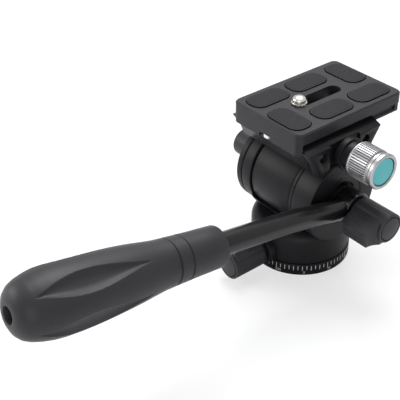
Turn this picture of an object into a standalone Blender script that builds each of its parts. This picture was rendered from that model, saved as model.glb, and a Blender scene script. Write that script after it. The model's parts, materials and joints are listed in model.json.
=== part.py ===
"""Compact fluid video head: pan base, U shaped housing, tilting clamp, quick release plate and handle.

Lengths are in metres. The origin is the middle of the base's bottom face, on the pan axis.
+Z is up, +Y is the lens side, +X is the side of the handle and of the clamp knob.
"""
import math

import bmesh
import bpy
from mathutils import Matrix, Vector

# Shared clearances, and how finely round things are cut
fit_gap = 0.0003
running_gap = 0.0004
cut_overrun = 0.002
cut_allowance = 0.0005
weld_distance = 0.00001
large_segments = 40
medium_segments = 24
small_segments = 12
corner_steps = 4
round_edge_steps = 2

# Size of the quick release plate, which the clamp and the yoke follow in width
plate_width = 0.0500
plate_length = 0.0740

# Heights of the two axes: the pan lock's is a share of the tilt axis's
tilt_height = 0.0465
pan_lock_height_share = 0.24086
pan_lock_height = tilt_height * pan_lock_height_share

# Base: its levels are shares of the height of the tilt axis
base_outer_radius = 0.0279
scale_ring_height_share = 0.15054
scale_ring_height = tilt_height * scale_ring_height_share
scale_ring_wall = 0.0042
scale_ring_taper = 0.0004
scale_ring_edge = 0.0006
base_floor_share = 0.12043
base_floor_thickness = tilt_height * base_floor_share
brake_drum_bottom_share = 0.18495
brake_drum_bottom = tilt_height * brake_drum_bottom_share
brake_drum_top_share = 0.31183
brake_drum_top = tilt_height * brake_drum_top_share
journal_radius_share = 0.28674
journal_radius = base_outer_radius * journal_radius_share
journal_top_share = 0.38280
journal_top = tilt_height * journal_top_share
tripod_thread_radius = 0.00476
tripod_thread_depth_share = 0.26882
tripod_thread_depth = tilt_height * tripod_thread_depth_share
thread_bush_wall = 0.00324
thread_bush_radius = tripod_thread_radius + thread_bush_wall
thread_bush_height_share = 0.76
thread_bush_height = tripod_thread_depth * thread_bush_height_share
bush_flange_width = 0.0018
bush_flange_radius = thread_bush_radius + bush_flange_width
bush_flange_height = 0.0015

# Pan housing: its radii follow the base, and its top follows the tilt axis
housing_radius = base_outer_radius - running_gap
housing_bottom = scale_ring_height + running_gap
housing_wall = 0.0032
cavity_radius = housing_radius - housing_wall
cavity_top_share = 0.35484
cavity_top = tilt_height * cavity_top_share
housing_top_drop = 0.0203
housing_top_height = tilt_height - housing_top_drop
housing_shoulder_rise = 0.0057
housing_shoulder_height = housing_top_height - housing_shoulder_rise
housing_shoulder_width = 0.0060
housing_top_radius = housing_radius - housing_shoulder_width
brake_drum_clearance = 0.0038
brake_drum_radius = cavity_radius - brake_drum_clearance
brake_drum_lip = 0.0045
base_neck_radius = brake_drum_radius - brake_drum_lip
bearing_wall_share = 0.4
bearing_wall = journal_radius * bearing_wall_share
bearing_outer_radius = journal_radius + bearing_wall
lock_boss_radius = 0.0095
lock_boss_length = 0.0032
lock_boss_reach = housing_radius + lock_boss_length

# Tilting barrel and the yoke round it
barrel_radius = 0.0231
arm_overhang = 0.0008
arm_radius = barrel_radius + arm_overhang
arm_inner_share = 0.328
arm_inner = plate_width * arm_inner_share
left_arm_width = 0.0068
left_arm_outer = arm_inner + left_arm_width
left_cap_inner = left_arm_outer + running_gap
left_cap_width = 0.0038
left_cap_outer = left_cap_inner + left_cap_width
right_arm_width_share = 0.262
right_arm_width = plate_width * right_arm_width_share
right_arm_outer = arm_inner + right_arm_width
arm_edge_round = 0.0010
saddle_overhang = 0.0018
saddle_radius = barrel_radius + saddle_overhang
saddle_overlap = 0.0002
saddle_drop = 0.0105
saddle_top = tilt_height - saddle_drop
yoke_side_clearance = 0.0008
yoke_throat_half_width = arm_inner - yoke_side_clearance
yoke_throat_drop = 0.0140
yoke_throat_bottom = tilt_height - yoke_throat_drop
yoke_throat_corner = 0.0030

# Inside of the barrel, the axle and the damper
barrel_left_clearance = 0.0006
barrel_left = arm_inner - barrel_left_clearance
barrel_right_clearance = 0.0021
barrel_right = arm_inner - barrel_right_clearance
barrel_wall = 0.0030
barrel_shell = 0.0049
barrel_bore = barrel_radius - barrel_shell
barrel_edge_round = 0.0009
damper_neck_radius = 0.0088
damper_reach = 0.0026
damper_right = arm_inner + damper_reach
axle_radius = 0.0050
axle_journal_radius = 0.0094
axle_journal_reach = 0.0029
axle_journal_outer = arm_inner + axle_journal_reach
axle_sink = 0.0023
axle_right = right_arm_outer - axle_sink
left_bearing_wall = 0.0030
right_bearing_left = axle_journal_outer + fit_gap
right_bearing_right = axle_right - 2 * fit_gap
right_bearing_wall = 0.0038
brake_pad_thickness = 0.0032
brake_stroke = 0.0005

# Handle side
rosette_radius = 0.0093
hub_recess_clearance = 0.0007
hub_recess_radius = rosette_radius + hub_recess_clearance
hub_recess_depth = 0.0018
rosette_stand = 0.0014
rosette_outer = right_arm_outer + rosette_stand
rosette_teeth = 24
rosette_tooth_depth = 0.0004
handle_eye_radius = 0.0086
handle_eye_inner = rosette_outer + running_gap
handle_eye_width = 0.0097
handle_eye_outer = handle_eye_inner + handle_eye_width
handle_eye_round = 0.0010
handle_tube_radius = 0.0057
handle_tube_wall = 0.0012
handle_neck_radius = 0.0043
handle_neck_length = 0.0060
handle_spigot_radius = 0.0028
handle_spigot_length = 0.0040
handle_plane_reach = 0.0043
handle_plane = handle_eye_inner + handle_plane_reach
handle_start_gap = 0.0020
handle_start_reach = handle_eye_radius + handle_start_gap

# Grip: where it starts and ends, as reach behind the tilt axis and rise above it
grip_start_reach = 0.0888
grip_start_rise = 0.0166
grip_length_reach = 0.1048
grip_length_rise = 0.0171
grip_end_reach = grip_start_reach + grip_length_reach
grip_end_rise = grip_start_rise + grip_length_rise
handle_start_rise_share = 0.072
handle_mid_reach_share = 0.450
handle_mid_rise_share = 0.494
handle_knee_reach_share = 0.788
handle_knee_rise_share = 0.813
handle_start_rise = grip_start_rise * handle_start_rise_share
handle_mid_reach = grip_start_reach * handle_mid_reach_share
handle_mid_rise = grip_start_rise * handle_mid_rise_share
handle_knee_reach = grip_start_reach * handle_knee_reach_share
handle_knee_rise = grip_start_rise * handle_knee_rise_share
handle_tube_end_share = 0.80
grip_front_radius = 0.0100
grip_belly_radius = 0.0156
grip_tail_hole_radius = 0.0032
grip_tail_hole_depth = 0.0120
grip_wall = 0.0046
grip_hollow_shares = (0.16, 0.44, 0.70, 0.76)
grip_flute_count = 5
grip_flute_turn = math.radians(322)
grip_flute_depth = 0.0022
grip_flute_spread = 0.34
grip_flute_shares = (0.39, 0.93)
grip_leaf_lean_share = 1.25
grip_leaf_depth_share = 0.80

# Lever knobs, all three alike
lever_hub_radius = 0.0080
lever_length = 0.0214
lever_root_step = 0.0008
lever_root_radius = lever_hub_radius - lever_root_step
lever_edge_round = 0.0012
lever_wing_length = 0.0066
lever_wing_reach = lever_hub_radius + lever_wing_length
lever_wing_thickness_share = 0.58125
lever_wing_half_thickness = lever_hub_radius * lever_wing_thickness_share
lever_wing_start = 0.0018
lever_wing_end_step = 0.0038
lever_wing_end = lever_length - lever_wing_end_step
lever_wing_round = 0.0013
lever_cap_rim = 0.0017
lever_cap_radius = lever_hub_radius - lever_cap_rim
lever_cap_depth = 0.0012
lever_cap_rise = 0.0005
lever_cap_edge = 0.0003
lever_bore_depth_share = 0.56075
lever_bore_depth = lever_length * lever_bore_depth_share
lever_seat_gap = 0.0006
pan_lock_stud_radius = 0.0028
tilt_lock_stud_radius = 0.0038
handle_lock_stud_radius = 0.0026
handle_lock_stud_reach = 0.0100
pan_shoe_radius_share = 0.42373
pan_shoe_radius = (brake_drum_top - brake_drum_bottom) * pan_shoe_radius_share
pan_shoe_length = 0.0034
pan_shoe_stroke = 0.0005
pan_lever_angle = math.radians(105)
tilt_lever_angle = math.radians(135)
handle_lever_angle = math.radians(-15)

# Quick release plate: its foot stands above the tilt axis
plate_shift = 0.0083
plate_bottom_rise = 0.0345
plate_bottom = tilt_height + plate_bottom_rise
plate_foot_height = 0.0060
plate_slab_bottom = plate_bottom + plate_foot_height
plate_slab_thickness = 0.0060
plate_top = plate_slab_bottom + plate_slab_thickness
plate_corner = 0.0038
plate_edge = 0.0007
plate_end_wall = 0.0028
dovetail_half_width_share = 0.46
dovetail_half_width = plate_width * dovetail_half_width_share
dovetail_edge_share = 0.15
dovetail_edge = plate_foot_height * dovetail_edge_share
dovetail_slope_share = 0.20
dovetail_slope = plate_foot_height * dovetail_slope_share
dovetail_neck = dovetail_half_width - dovetail_slope
plate_channel_half_width_share = 0.08
plate_channel_half_width = plate_width * plate_channel_half_width_share
plate_channel_depth_share = 0.43333
plate_channel_depth = plate_foot_height * plate_channel_depth_share
slot_half_length_share = 0.22027
slot_half_length = plate_length * slot_half_length_share
slot_setback_share = 0.01892
slot_setback = plate_length * slot_setback_share
slot_recess_half_length_share = 0.35135
slot_recess_half_length = plate_length * slot_recess_half_length_share
slot_recess_depth_share = 0.83333
slot_recess_depth = plate_foot_height * slot_recess_depth_share
pad_length_share = 0.32432
pad_length = plate_length * pad_length_share
pad_width_share = 0.266
pad_width = plate_width * pad_width_share
pad_corner_share = 0.42105
pad_corner = pad_width * pad_corner_share
pad_depth = 0.0012
pad_rise = 0.0008
pad_side_offset_share = 0.294
pad_side_offset = plate_width * pad_side_offset_share
pad_turned_offset_share = 0.178
pad_turned_offset = plate_width * pad_turned_offset_share
pad_row_near_share = 0.06892
pad_row_near = plate_length * pad_row_near_share
pad_row_far_share = 0.29595
pad_row_far = plate_length * pad_row_far_share
pad_row_inset = 0.0083
pad_row_end = plate_length / 2 - pad_row_inset

# Screws of the plate
camera_screw_radius = 0.0037
slot_half_width = camera_screw_radius + fit_gap
camera_screw_offset_share = 0.18514
camera_screw_offset = plate_length * camera_screw_offset_share
camera_screw_head_step = 0.0042
camera_screw_head_radius = camera_screw_radius + camera_screw_head_step
slot_recess_clearance = 0.0013
slot_recess_half_width = camera_screw_head_radius + slot_recess_clearance
camera_screw_head_share = 0.52
camera_screw_head_height = slot_recess_depth * camera_screw_head_share
camera_screw_rise = 0.0043
camera_screw_ring_width = 0.00045
camera_screw_ring_radius = camera_screw_radius + camera_screw_ring_width
camera_screw_ring_share = 0.25
camera_screw_ring_height = camera_screw_rise * camera_screw_ring_share
camera_screw_top = plate_top + camera_screw_rise
camera_screw_chamfer = 0.0006
camera_screw_slot_half_width = 0.0006
camera_screw_slot_depth = 0.0010
screw_washer_width = 0.0028
screw_washer_radius = camera_screw_radius + screw_washer_width
screw_washer_share = 0.16
screw_washer_height = slot_recess_depth * screw_washer_share
stop_screw_radius_share = 0.85
stop_screw_radius = plate_channel_half_width * stop_screw_radius_share
stop_screw_height_share = 0.84615
stop_screw_height = plate_channel_depth * stop_screw_height_share
stop_screw_inset = 0.0040

# Clamp: it is wider than the plate's dovetail by named steps, and stands on the barrel
clamp_overhang_share = 0.12
clamp_overhang = plate_width * clamp_overhang_share
clamp_half_width = dovetail_half_width + clamp_overhang
clamp_half_length = 0.0255
lip_gap = 0.0026
clamp_lip_top = plate_slab_bottom - lip_gap
clamp_lip_height = 0.0024
clamp_top = clamp_lip_top - clamp_lip_height
clamp_floor = plate_bottom - running_gap
clamp_waist_half_length_share = 0.78824
clamp_waist_half_length = clamp_half_length * clamp_waist_half_length_share
clamp_waist_drop = 0.0071
clamp_waist_height = plate_bottom - clamp_waist_drop
clamp_foot_half_length_share = 0.68235
clamp_foot_half_length = clamp_half_length * clamp_foot_half_length_share
clamp_foot_drop = 0.0136
clamp_foot_height = plate_bottom - clamp_foot_drop
clamp_root_half_length_share = 0.55686
clamp_root_half_length = clamp_half_length * clamp_root_half_length_share
clamp_root_drop = 0.0162
clamp_root_height = plate_bottom - clamp_root_drop
clamp_split_step = 0.0002
clamp_split = dovetail_half_width - clamp_split_step
jaw_gap = 0.0006
lip_slope_share = 1.03333
lip_slope = clamp_overhang * lip_slope_share
lip_shoulder = clamp_half_width - lip_slope
guide_spacing_share = 0.58431
guide_spacing = clamp_half_length * guide_spacing_share
guide_drop = 0.0037
guide_height = plate_bottom - guide_drop
guide_radius = 0.0018
guide_length = 0.0195
guide_sink = 0.0022
guide_end = clamp_half_width - guide_sink
guide_hole_radius = 0.0027
spring_wire_radius = 0.00035
spring_coil_radius = 0.0026
spring_turns = 4
spring_pocket_radius = 0.0033
spring_pocket_depth = 0.0075
clamp_screw_drop = 0.0050
clamp_screw_height = plate_bottom - clamp_screw_drop
clamp_screw_radius = 0.0030
clamp_screw_end = 0.0040
collar_radius = 0.0088
collar_step_width = 0.0014
collar_step_radius = collar_radius - collar_step_width
collar_neck_radius = 0.0050
collar_sink = 0.0011
collar_inner = clamp_half_width - collar_sink
collar_stand = 0.0009
collar_face = clamp_half_width + collar_stand
collar_flange_width = 0.0036
collar_step = collar_face + collar_flange_width
collar_step_length = 0.0040
collar_outer = collar_step + collar_step_length
collar_pocket_side_clearance = 0.0014
collar_pocket_half = collar_radius + collar_pocket_side_clearance
collar_pocket_depth = 0.0015
collar_pocket_bottom = clamp_screw_height - collar_radius + fit_gap
platform_screw_spacing = 0.0160
platform_screw_radius = 0.0020
platform_screw_head_radius = 0.0036
platform_screw_head_height = 0.0022
platform_screw_bite = 0.0007
platform_screw_end = tilt_height + barrel_bore - platform_screw_bite

# Clamp knob: stations along its axis, from its inner face to its front
clamp_knob_gap = 0.0005
clamp_knob_inner = collar_outer + clamp_knob_gap
clamp_knob_length = 0.0172
clamp_knob_outer = clamp_knob_inner + clamp_knob_length
clamp_knob_knurl_start_share = 0.09884
clamp_knob_knurl_end_share = 0.71512
clamp_knob_neck_share = 0.81395
clamp_knob_rim_start_share = 0.86047
clamp_knob_knurl_start = clamp_knob_inner + clamp_knob_length * clamp_knob_knurl_start_share
clamp_knob_knurl_end = clamp_knob_inner + clamp_knob_length * clamp_knob_knurl_end_share
clamp_knob_neck = clamp_knob_inner + clamp_knob_length * clamp_knob_neck_share
clamp_knob_rim_start = clamp_knob_inner + clamp_knob_length * clamp_knob_rim_start_share
clamp_knob_radius = 0.0095
clamp_knob_neck_step = 0.0009
clamp_knob_neck_radius = clamp_knob_radius - clamp_knob_neck_step
clamp_knob_edge = 0.0006
clamp_knob_ribs = 26
clamp_knob_rib_depth = 0.0004
clamp_knob_rim_width = 0.0022
clamp_knob_disc_radius = clamp_knob_radius - clamp_knob_rim_width
clamp_knob_disc_depth = 0.0016
clamp_knob_disc_sink = 0.0006
clamp_knob_bore_share = 0.55233
clamp_knob_bore_depth = clamp_knob_length * clamp_knob_bore_share

# Turns that carry a piece's own Z axis onto a direction of the head
toward_right = (math.pi / 2, 0.0, math.pi / 2)
toward_left = (math.pi / 2, 0.0, -math.pi / 2)
toward_rear = (math.pi / 2, 0.0, 0.0)
upright = (0.0, 0.0, 0.0)


# Finishes: base colour, roughness and metallic value of each material
finish_values = {
    "black_paint": ((0.020, 0.020, 0.022, 1.0), 0.45, 0.0),
    "dark_anodised": ((0.045, 0.046, 0.050, 1.0), 0.42, 0.6),
    "gloss_black": ((0.012, 0.012, 0.014, 1.0), 0.22, 0.0),
    "black_plastic": ((0.030, 0.030, 0.033, 1.0), 0.50, 0.0),
    "rubber": ((0.035, 0.036, 0.038, 1.0), 0.75, 0.0),
    "silver_aluminium": ((0.72, 0.72, 0.73, 1.0), 0.30, 1.0),
    "teal_disc": ((0.08, 0.52, 0.55, 1.0), 0.30, 0.3),
    "steel": ((0.58, 0.58, 0.60, 1.0), 0.28, 1.0),
    "bronze": ((0.50, 0.33, 0.16, 1.0), 0.35, 1.0),
    "brass": ((0.72, 0.53, 0.24, 1.0), 0.30, 1.0),
    "nylon": ((0.75, 0.74, 0.70, 1.0), 0.50, 0.0),
}


def make_material(name):
    color, roughness, metallic = finish_values[name]
    material = bpy.data.materials.new(name)
    material.use_nodes = True
    shader = material.node_tree.nodes["Principled BSDF"]
    shader.inputs["Base Color"].default_value = color
    shader.inputs["Roughness"].default_value = roughness
    shader.inputs["Metallic"].default_value = metallic
    material.diffuse_color = color
    return material


def clear_scene():
    for existing in list(bpy.data.objects):
        bpy.data.objects.remove(existing, do_unlink=True)


clear_scene()
part_collection = bpy.data.collections.new("fluid_video_head")
cutter_collection = bpy.data.collections.new("cutters")
bpy.context.scene.collection.children.link(part_collection)
bpy.context.scene.collection.children.link(cutter_collection)
materials = {name: make_material(name) for name in finish_values}


# Building blocks
def link_object(name, mesh, material_name=None, cutter=False):
    item = bpy.data.objects.new(name, mesh)
    if cutter:
        cutter_collection.objects.link(item)
        item.hide_render = True
        item.display_type = "WIRE"
    else:
        part_collection.objects.link(item)
        if material_name:
            mesh.materials.append(materials[material_name])
    return item


def place(item, location, rotation=upright):
    item.location = location
    item.rotation_euler = rotation
    return item


def mesh_from(name, build):
    mesh = bpy.data.meshes.new(name)
    work = bmesh.new()
    build(work)
    bmesh.ops.recalc_face_normals(work, faces=work.faces)
    work.to_mesh(mesh)
    work.free()
    mesh.shade_smooth()
    mesh.set_sharp_from_angle(angle=math.radians(32))
    return mesh


def cylinder_mesh(name, radius, start, end, segments):
    """A solid cylinder about local Z that runs from start to end."""
    def build(work):
        middle = Matrix.Translation((0.0, 0.0, (start + end) / 2))
        bmesh.ops.create_cone(work, cap_ends=True, segments=segments, radius1=radius,
                              radius2=radius, depth=abs(end - start), matrix=middle)
    return mesh_from(name, build)


def box_mesh(name, low, high, edge_round=0.0):
    """A box between two corners, with its edges rounded when edge_round is given."""
    size = [top - bottom for bottom, top in zip(low, high)]
    middle = [(top + bottom) / 2 for bottom, top in zip(low, high)]

    def build(work):
        spread = Matrix.Translation(middle) @ Matrix.Diagonal((*size, 1.0))
        bmesh.ops.create_cube(work, size=1.0, matrix=spread)
        if edge_round > 0.0:
            bmesh.ops.bevel(work, geom=list(work.edges), offset=edge_round, affect="EDGES",
                            segments=round_edge_steps, profile=0.5, material=-1)
    return mesh_from(name, build)


def turned_part(name, profile, material_name=None, segments=large_segments, cutter=False):
    """A turned solid: the profile's (radius, height) points run down its outer side.

    A profile that starts and ends on the axis makes a solid, and a closed loop makes a ring.
    """
    mesh = bpy.data.meshes.new(name)
    on_axis = profile[0][0] == 0.0
    points = [(radius, 0.0, height) for radius, height in profile]
    edges = [(index, index + 1) for index in range(len(points) - 1)]
    if not on_axis:
        edges.append((len(points) - 1, 0))
    mesh.from_pydata(points, edges, [])
    item = link_object(name, mesh, material_name, cutter)
    screw = item.modifiers.new("turn", "SCREW")
    screw.axis = "Z"
    screw.angle = 2 * math.pi
    screw.steps = segments
    screw.render_steps = segments
    screw.use_merge_vertices = True
    screw.merge_threshold = weld_distance
    screw.use_normal_calculate = False
    freeze(item)
    if on_axis:
        drop_axis_points(item.data)
    return item


def drop_axis_points(mesh):
    """Makes each flat end of a turned solid one face, with no point in its middle."""
    work = bmesh.new()
    work.from_mesh(mesh)
    middle = [vertex for vertex in work.verts if vertex.co.xy.length < weld_distance]
    bmesh.ops.dissolve_verts(work, verts=middle)
    work.to_mesh(mesh)
    work.free()


def freeze(item):
    """Turns the modifiers of an object into its mesh, shaded smooth with sharp edges kept."""
    bpy.context.view_layer.update()
    graph = bpy.context.evaluated_depsgraph_get()
    mesh = bpy.data.meshes.new_from_object(item.evaluated_get(graph), preserve_all_data_layers=True,
                                           depsgraph=graph)
    mesh.name = item.name
    item.modifiers.clear()
    item.data = mesh
    mesh.shade_smooth()
    mesh.set_sharp_from_angle(angle=math.radians(32))
    return item


def outline_mesh(name, points, half_thickness, edge_round=0.0):
    """A flat outline in local XY, thick along local Z, made from a filled 2D curve."""
    curve = bpy.data.curves.new(name, "CURVE")
    curve.dimensions = "2D"
    curve.fill_mode = "BOTH"
    curve.extrude = half_thickness - edge_round
    curve.bevel_depth = edge_round
    curve.bevel_resolution = 1
    curve.offset = -edge_round
    spline = curve.splines.new("POLY")
    spline.points.add(len(points) - 1)
    for point, (x, y) in zip(spline.points, points):
        point.co = (x, y, 0.0, 1.0)
    spline.use_cyclic_u = True
    holder = bpy.data.objects.new(name + "_curve", curve)
    cutter_collection.objects.link(holder)
    bpy.context.view_layer.update()
    graph = bpy.context.evaluated_depsgraph_get()
    mesh = bpy.data.meshes.new_from_object(holder.evaluated_get(graph))
    work = bmesh.new()
    work.from_mesh(mesh)
    bmesh.ops.remove_doubles(work, verts=work.verts, dist=weld_distance)
    bmesh.ops.recalc_face_normals(work, faces=work.faces)
    work.to_mesh(mesh)
    work.free()
    bpy.data.objects.remove(holder, do_unlink=True)
    bpy.data.curves.remove(curve)
    mesh.name = name
    mesh.shade_smooth()
    mesh.set_sharp_from_angle(angle=math.radians(32))
    return mesh


def tube_mesh(name, points, radius, resolution):
    """A round bar along points, made from a bevelled curve with its caps welded on."""
    curve = bpy.data.curves.new(name, "CURVE")
    curve.dimensions = "3D"
    curve.bevel_depth = radius
    curve.bevel_resolution = resolution
    curve.use_fill_caps = True
    spline = curve.splines.new("POLY")
    spline.points.add(len(points) - 1)
    for point, place_of_point in zip(spline.points, points):
        point.co = (*place_of_point, 1.0)
    holder = bpy.data.objects.new(name + "_curve", curve)
    cutter_collection.objects.link(holder)
    bpy.context.view_layer.update()
    graph = bpy.context.evaluated_depsgraph_get()
    mesh = bpy.data.meshes.new_from_object(holder.evaluated_get(graph))
    work = bmesh.new()
    work.from_mesh(mesh)
    bmesh.ops.remove_doubles(work, verts=work.verts, dist=weld_distance)
    bmesh.ops.recalc_face_normals(work, faces=work.faces)
    work.to_mesh(mesh)
    work.free()
    bpy.data.objects.remove(holder, do_unlink=True)
    bpy.data.curves.remove(curve)
    mesh.name = name
    mesh.shade_smooth()
    mesh.set_sharp_from_angle(angle=math.radians(32))
    return mesh


def cut(item, cutter, operation="DIFFERENCE"):
    boolean = item.modifiers.new(cutter.name, "BOOLEAN")
    boolean.operation = operation
    boolean.solver = "EXACT"
    boolean.object = cutter
    return item


def cut_round(item, name, location, rotation, radius, start, end, segments=small_segments):
    """Cuts a round hole about the cutter's own Z axis, from start to end along it."""
    cutter = link_object(name, cylinder_mesh(name, radius, start, end, segments), cutter=True)
    place(cutter, location, rotation)
    return cut(item, cutter)


def cut_box(item, name, low, high):
    cutter = link_object(name, box_mesh(name, low, high), cutter=True)
    return cut(item, cutter)


def arc_points(center, radius, start, end, steps):
    """Points of an arc, its two ends included."""
    points = []
    for step in range(steps + 1):
        angle = start + (end - start) * step / steps
        points.append((center[0] + radius * math.cos(angle), center[1] + radius * math.sin(angle)))
    return points


def rounded_rectangle(half_length, half_width, corner, steps=corner_steps):
    points = []
    corners = [(1, 1, 0.0), (-1, 1, math.pi / 2), (-1, -1, math.pi), (1, -1, 1.5 * math.pi)]
    for side_x, side_y, start in corners:
        center = (side_x * (half_length - corner), side_y * (half_width - corner))
        points += arc_points(center, corner, start, start + math.pi / 2, steps)
    return points


def rounded_disc_profile(radius, bottom, top, edge):
    """A solid disc's profile, with both rims rounded."""
    upper = [(radius - edge + edge * math.sin(turn), top - edge + edge * math.cos(turn))
             for turn in (0.0, math.pi / 4, math.pi / 2)]
    lower = [(radius, bottom + edge), (radius - edge, bottom)]
    return [(0.0, top)] + upper + lower + [(0.0, bottom)]


def plain_disc_profile(radius, bottom, top):
    return [(0.0, top), (radius, top), (radius, bottom), (0.0, bottom)]


def ring_profile(inner, outer, bottom, top):
    return [(outer, top), (outer, bottom), (inner, bottom), (inner, top)]


# Base: what the tripod holds
def build_base():
    bore = thread_bush_radius + fit_gap
    flange_seat = bush_flange_radius + fit_gap
    bore_top = tripod_thread_depth
    base_plate = turned_part("base_plate", [
        (0.0, journal_top),
        (journal_radius - running_gap, journal_top),
        (journal_radius, journal_top - running_gap),
        (journal_radius, brake_drum_top),
        (brake_drum_radius, brake_drum_top),
        (brake_drum_radius, brake_drum_bottom),
        (base_neck_radius, brake_drum_bottom),
        (base_neck_radius, base_floor_thickness),
        (base_outer_radius - scale_ring_wall - fit_gap, base_floor_thickness),
        (base_outer_radius - scale_ring_wall - fit_gap, 0.0),
        (flange_seat, 0.0),
        (flange_seat, bush_flange_height + fit_gap),
        (bore, bush_flange_height + fit_gap),
        (bore, bore_top),
        (0.0, bore_top),
    ], "black_paint")
    turned_part("thread_bush", [
        (thread_bush_radius, thread_bush_height),
        (thread_bush_radius, bush_flange_height),
        (bush_flange_radius, bush_flange_height),
        (bush_flange_radius, 0.0),
        (tripod_thread_radius, 0.0),
        (tripod_thread_radius, thread_bush_height),
    ], "brass", medium_segments)
    ring_inner = base_outer_radius - scale_ring_wall
    turned_part("pan_scale_ring", [
        (base_outer_radius - scale_ring_taper - scale_ring_edge, scale_ring_height),
        (base_outer_radius - scale_ring_taper, scale_ring_height - scale_ring_edge),
        (base_outer_radius, scale_ring_edge),
        (base_outer_radius - scale_ring_edge, 0.0),
        (ring_inner, 0.0),
        (ring_inner, base_floor_thickness),
        (ring_inner, scale_ring_height),
    ], "black_paint")
    return base_plate


def build_pan_inner_parts():
    turned_part("pan_retaining_ring", ring_profile(
        base_neck_radius + running_gap, cavity_radius - fit_gap,
        scale_ring_height + fit_gap, brake_drum_bottom - fit_gap), "steel", medium_segments)
    turned_part("pan_drag_disc", ring_profile(
        bearing_outer_radius + running_gap, brake_drum_radius,
        brake_drum_top + running_gap, cavity_top - fit_gap), "nylon", medium_segments)
    turned_part("pan_bearing", ring_profile(
        journal_radius + fit_gap, bearing_outer_radius,
        brake_drum_top + running_gap, journal_top), "bronze", medium_segments)


def build_housing():
    housing = turned_part("pan_housing", housing_profile(), "black_paint")
    left = turned_part("left_arm_union", rounded_disc_profile(
        arm_radius, arm_inner, left_arm_outer, arm_edge_round), cutter=True)
    place(left, (0.0, 0.0, tilt_height), toward_left)
    cut(housing, left, "UNION")
    right = turned_part("right_arm_union", rounded_disc_profile(
        arm_radius, arm_inner, right_arm_outer, arm_edge_round), cutter=True)
    place(right, (0.0, 0.0, tilt_height), toward_right)
    cut(housing, right, "UNION")
    saddle_reach = arm_inner + saddle_overlap
    saddle = link_object("saddle_union", cylinder_mesh(
        "saddle_union", saddle_radius, -saddle_reach, saddle_reach, large_segments), cutter=True)
    place(saddle, (0.0, 0.0, tilt_height), toward_right)
    throat = link_object("yoke_throat", outline_mesh("yoke_throat", throat_outline(),
                                                     saddle_radius + cut_overrun), cutter=True)
    place(throat, (0.0, 0.0, 0.0), toward_rear)
    cut(saddle, throat)
    cut(housing, saddle, "UNION")
    boss = link_object("lock_boss_union", boss_mesh(), cutter=True)
    cut(housing, boss, "UNION")
    cut_round(housing, "barrel_space", (0.0, 0.0, tilt_height), toward_right,
              barrel_radius + running_gap, -arm_inner, arm_inner, large_segments)
    cut_round(housing, "left_cap_space", (0.0, 0.0, tilt_height), toward_left,
              arm_radius + fit_gap, left_arm_outer, housing_radius + cut_overrun, large_segments)
    cut_housing_cavity(housing)
    cut_round(housing, "pan_lock_hole", (0.0, 0.0, pan_lock_height), toward_rear,
              pan_lock_stud_radius + fit_gap, base_neck_radius, lock_boss_reach + cut_overrun)
    left_bore = axle_journal_radius + running_gap + left_bearing_wall + fit_gap
    cut_round(housing, "left_arm_bore", (0.0, 0.0, tilt_height), toward_left,
              left_bore, arm_inner - cut_overrun, left_arm_outer + cut_overrun, medium_segments)
    right_bore = axle_radius + fit_gap + right_bearing_wall + fit_gap
    cut_round(housing, "right_arm_bore", (0.0, 0.0, tilt_height), toward_right,
              right_bore, arm_inner - cut_overrun, right_arm_outer + cut_overrun, medium_segments)
    cut_round(housing, "hub_recess", (0.0, 0.0, tilt_height), toward_right, hub_recess_radius,
              right_arm_outer - hub_recess_depth, right_arm_outer + cut_overrun, medium_segments)
    return housing


def housing_profile():
    """The lower drum of the housing, with an elliptical shoulder up to the saddle."""
    profile = [(0.0, housing_top_height)]
    width = housing_radius - housing_top_radius
    rise = housing_top_height - housing_shoulder_height
    for step in range(corner_steps + 1):
        turn = step / corner_steps * math.pi / 2
        profile.append((housing_top_radius + width * math.sin(turn),
                        housing_shoulder_height + rise * math.cos(turn)))
    profile += [(housing_radius, housing_bottom), (0.0, housing_bottom)]
    return profile


def throat_outline():
    """The U between the arms, as X against height: open above, with round corners below."""
    half = yoke_throat_half_width
    wide = arm_inner + cut_overrun
    corner = yoke_throat_corner
    low = yoke_throat_bottom
    high = tilt_height + saddle_radius + cut_overrun
    points = [(half, saddle_top), (wide, saddle_top), (wide, high)]
    points += [(-wide, high), (-wide, saddle_top), (-half, saddle_top)]
    points += arc_points((-half + corner, low + corner), corner, math.pi, 1.5 * math.pi, corner_steps)
    points += arc_points((half - corner, low + corner), corner, 1.5 * math.pi, 2 * math.pi,
                         corner_steps)
    return points


def boss_mesh():
    """The lock's boss on the rear of the housing: round above, flat below, clear of the scale."""
    half = lock_boss_radius
    drop = pan_lock_height - housing_bottom
    start = -math.asin(drop / half)
    points = arc_points((0.0, pan_lock_height), half, start, math.pi - start, 3 * corner_steps)
    depth = lock_boss_reach - cavity_radius - cut_allowance
    mesh = outline_mesh("lock_boss_union", points, depth / 2)
    mesh.transform(Matrix.Rotation(math.pi / 2, 4, "X"))
    mesh.transform(Matrix.Translation((0.0, -(lock_boss_reach - depth / 2), 0.0)))
    return mesh


def cut_housing_cavity(housing):
    cutter = turned_part("housing_cavity", [
        (0.0, journal_top + running_gap),
        (bearing_outer_radius + fit_gap, journal_top + running_gap),
        (bearing_outer_radius + fit_gap, cavity_top),
        (cavity_radius, cavity_top),
        (cavity_radius, housing_bottom - cut_overrun),
        (0.0, housing_bottom - cut_overrun),
    ], cutter=True)
    cut(housing, cutter)


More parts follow.
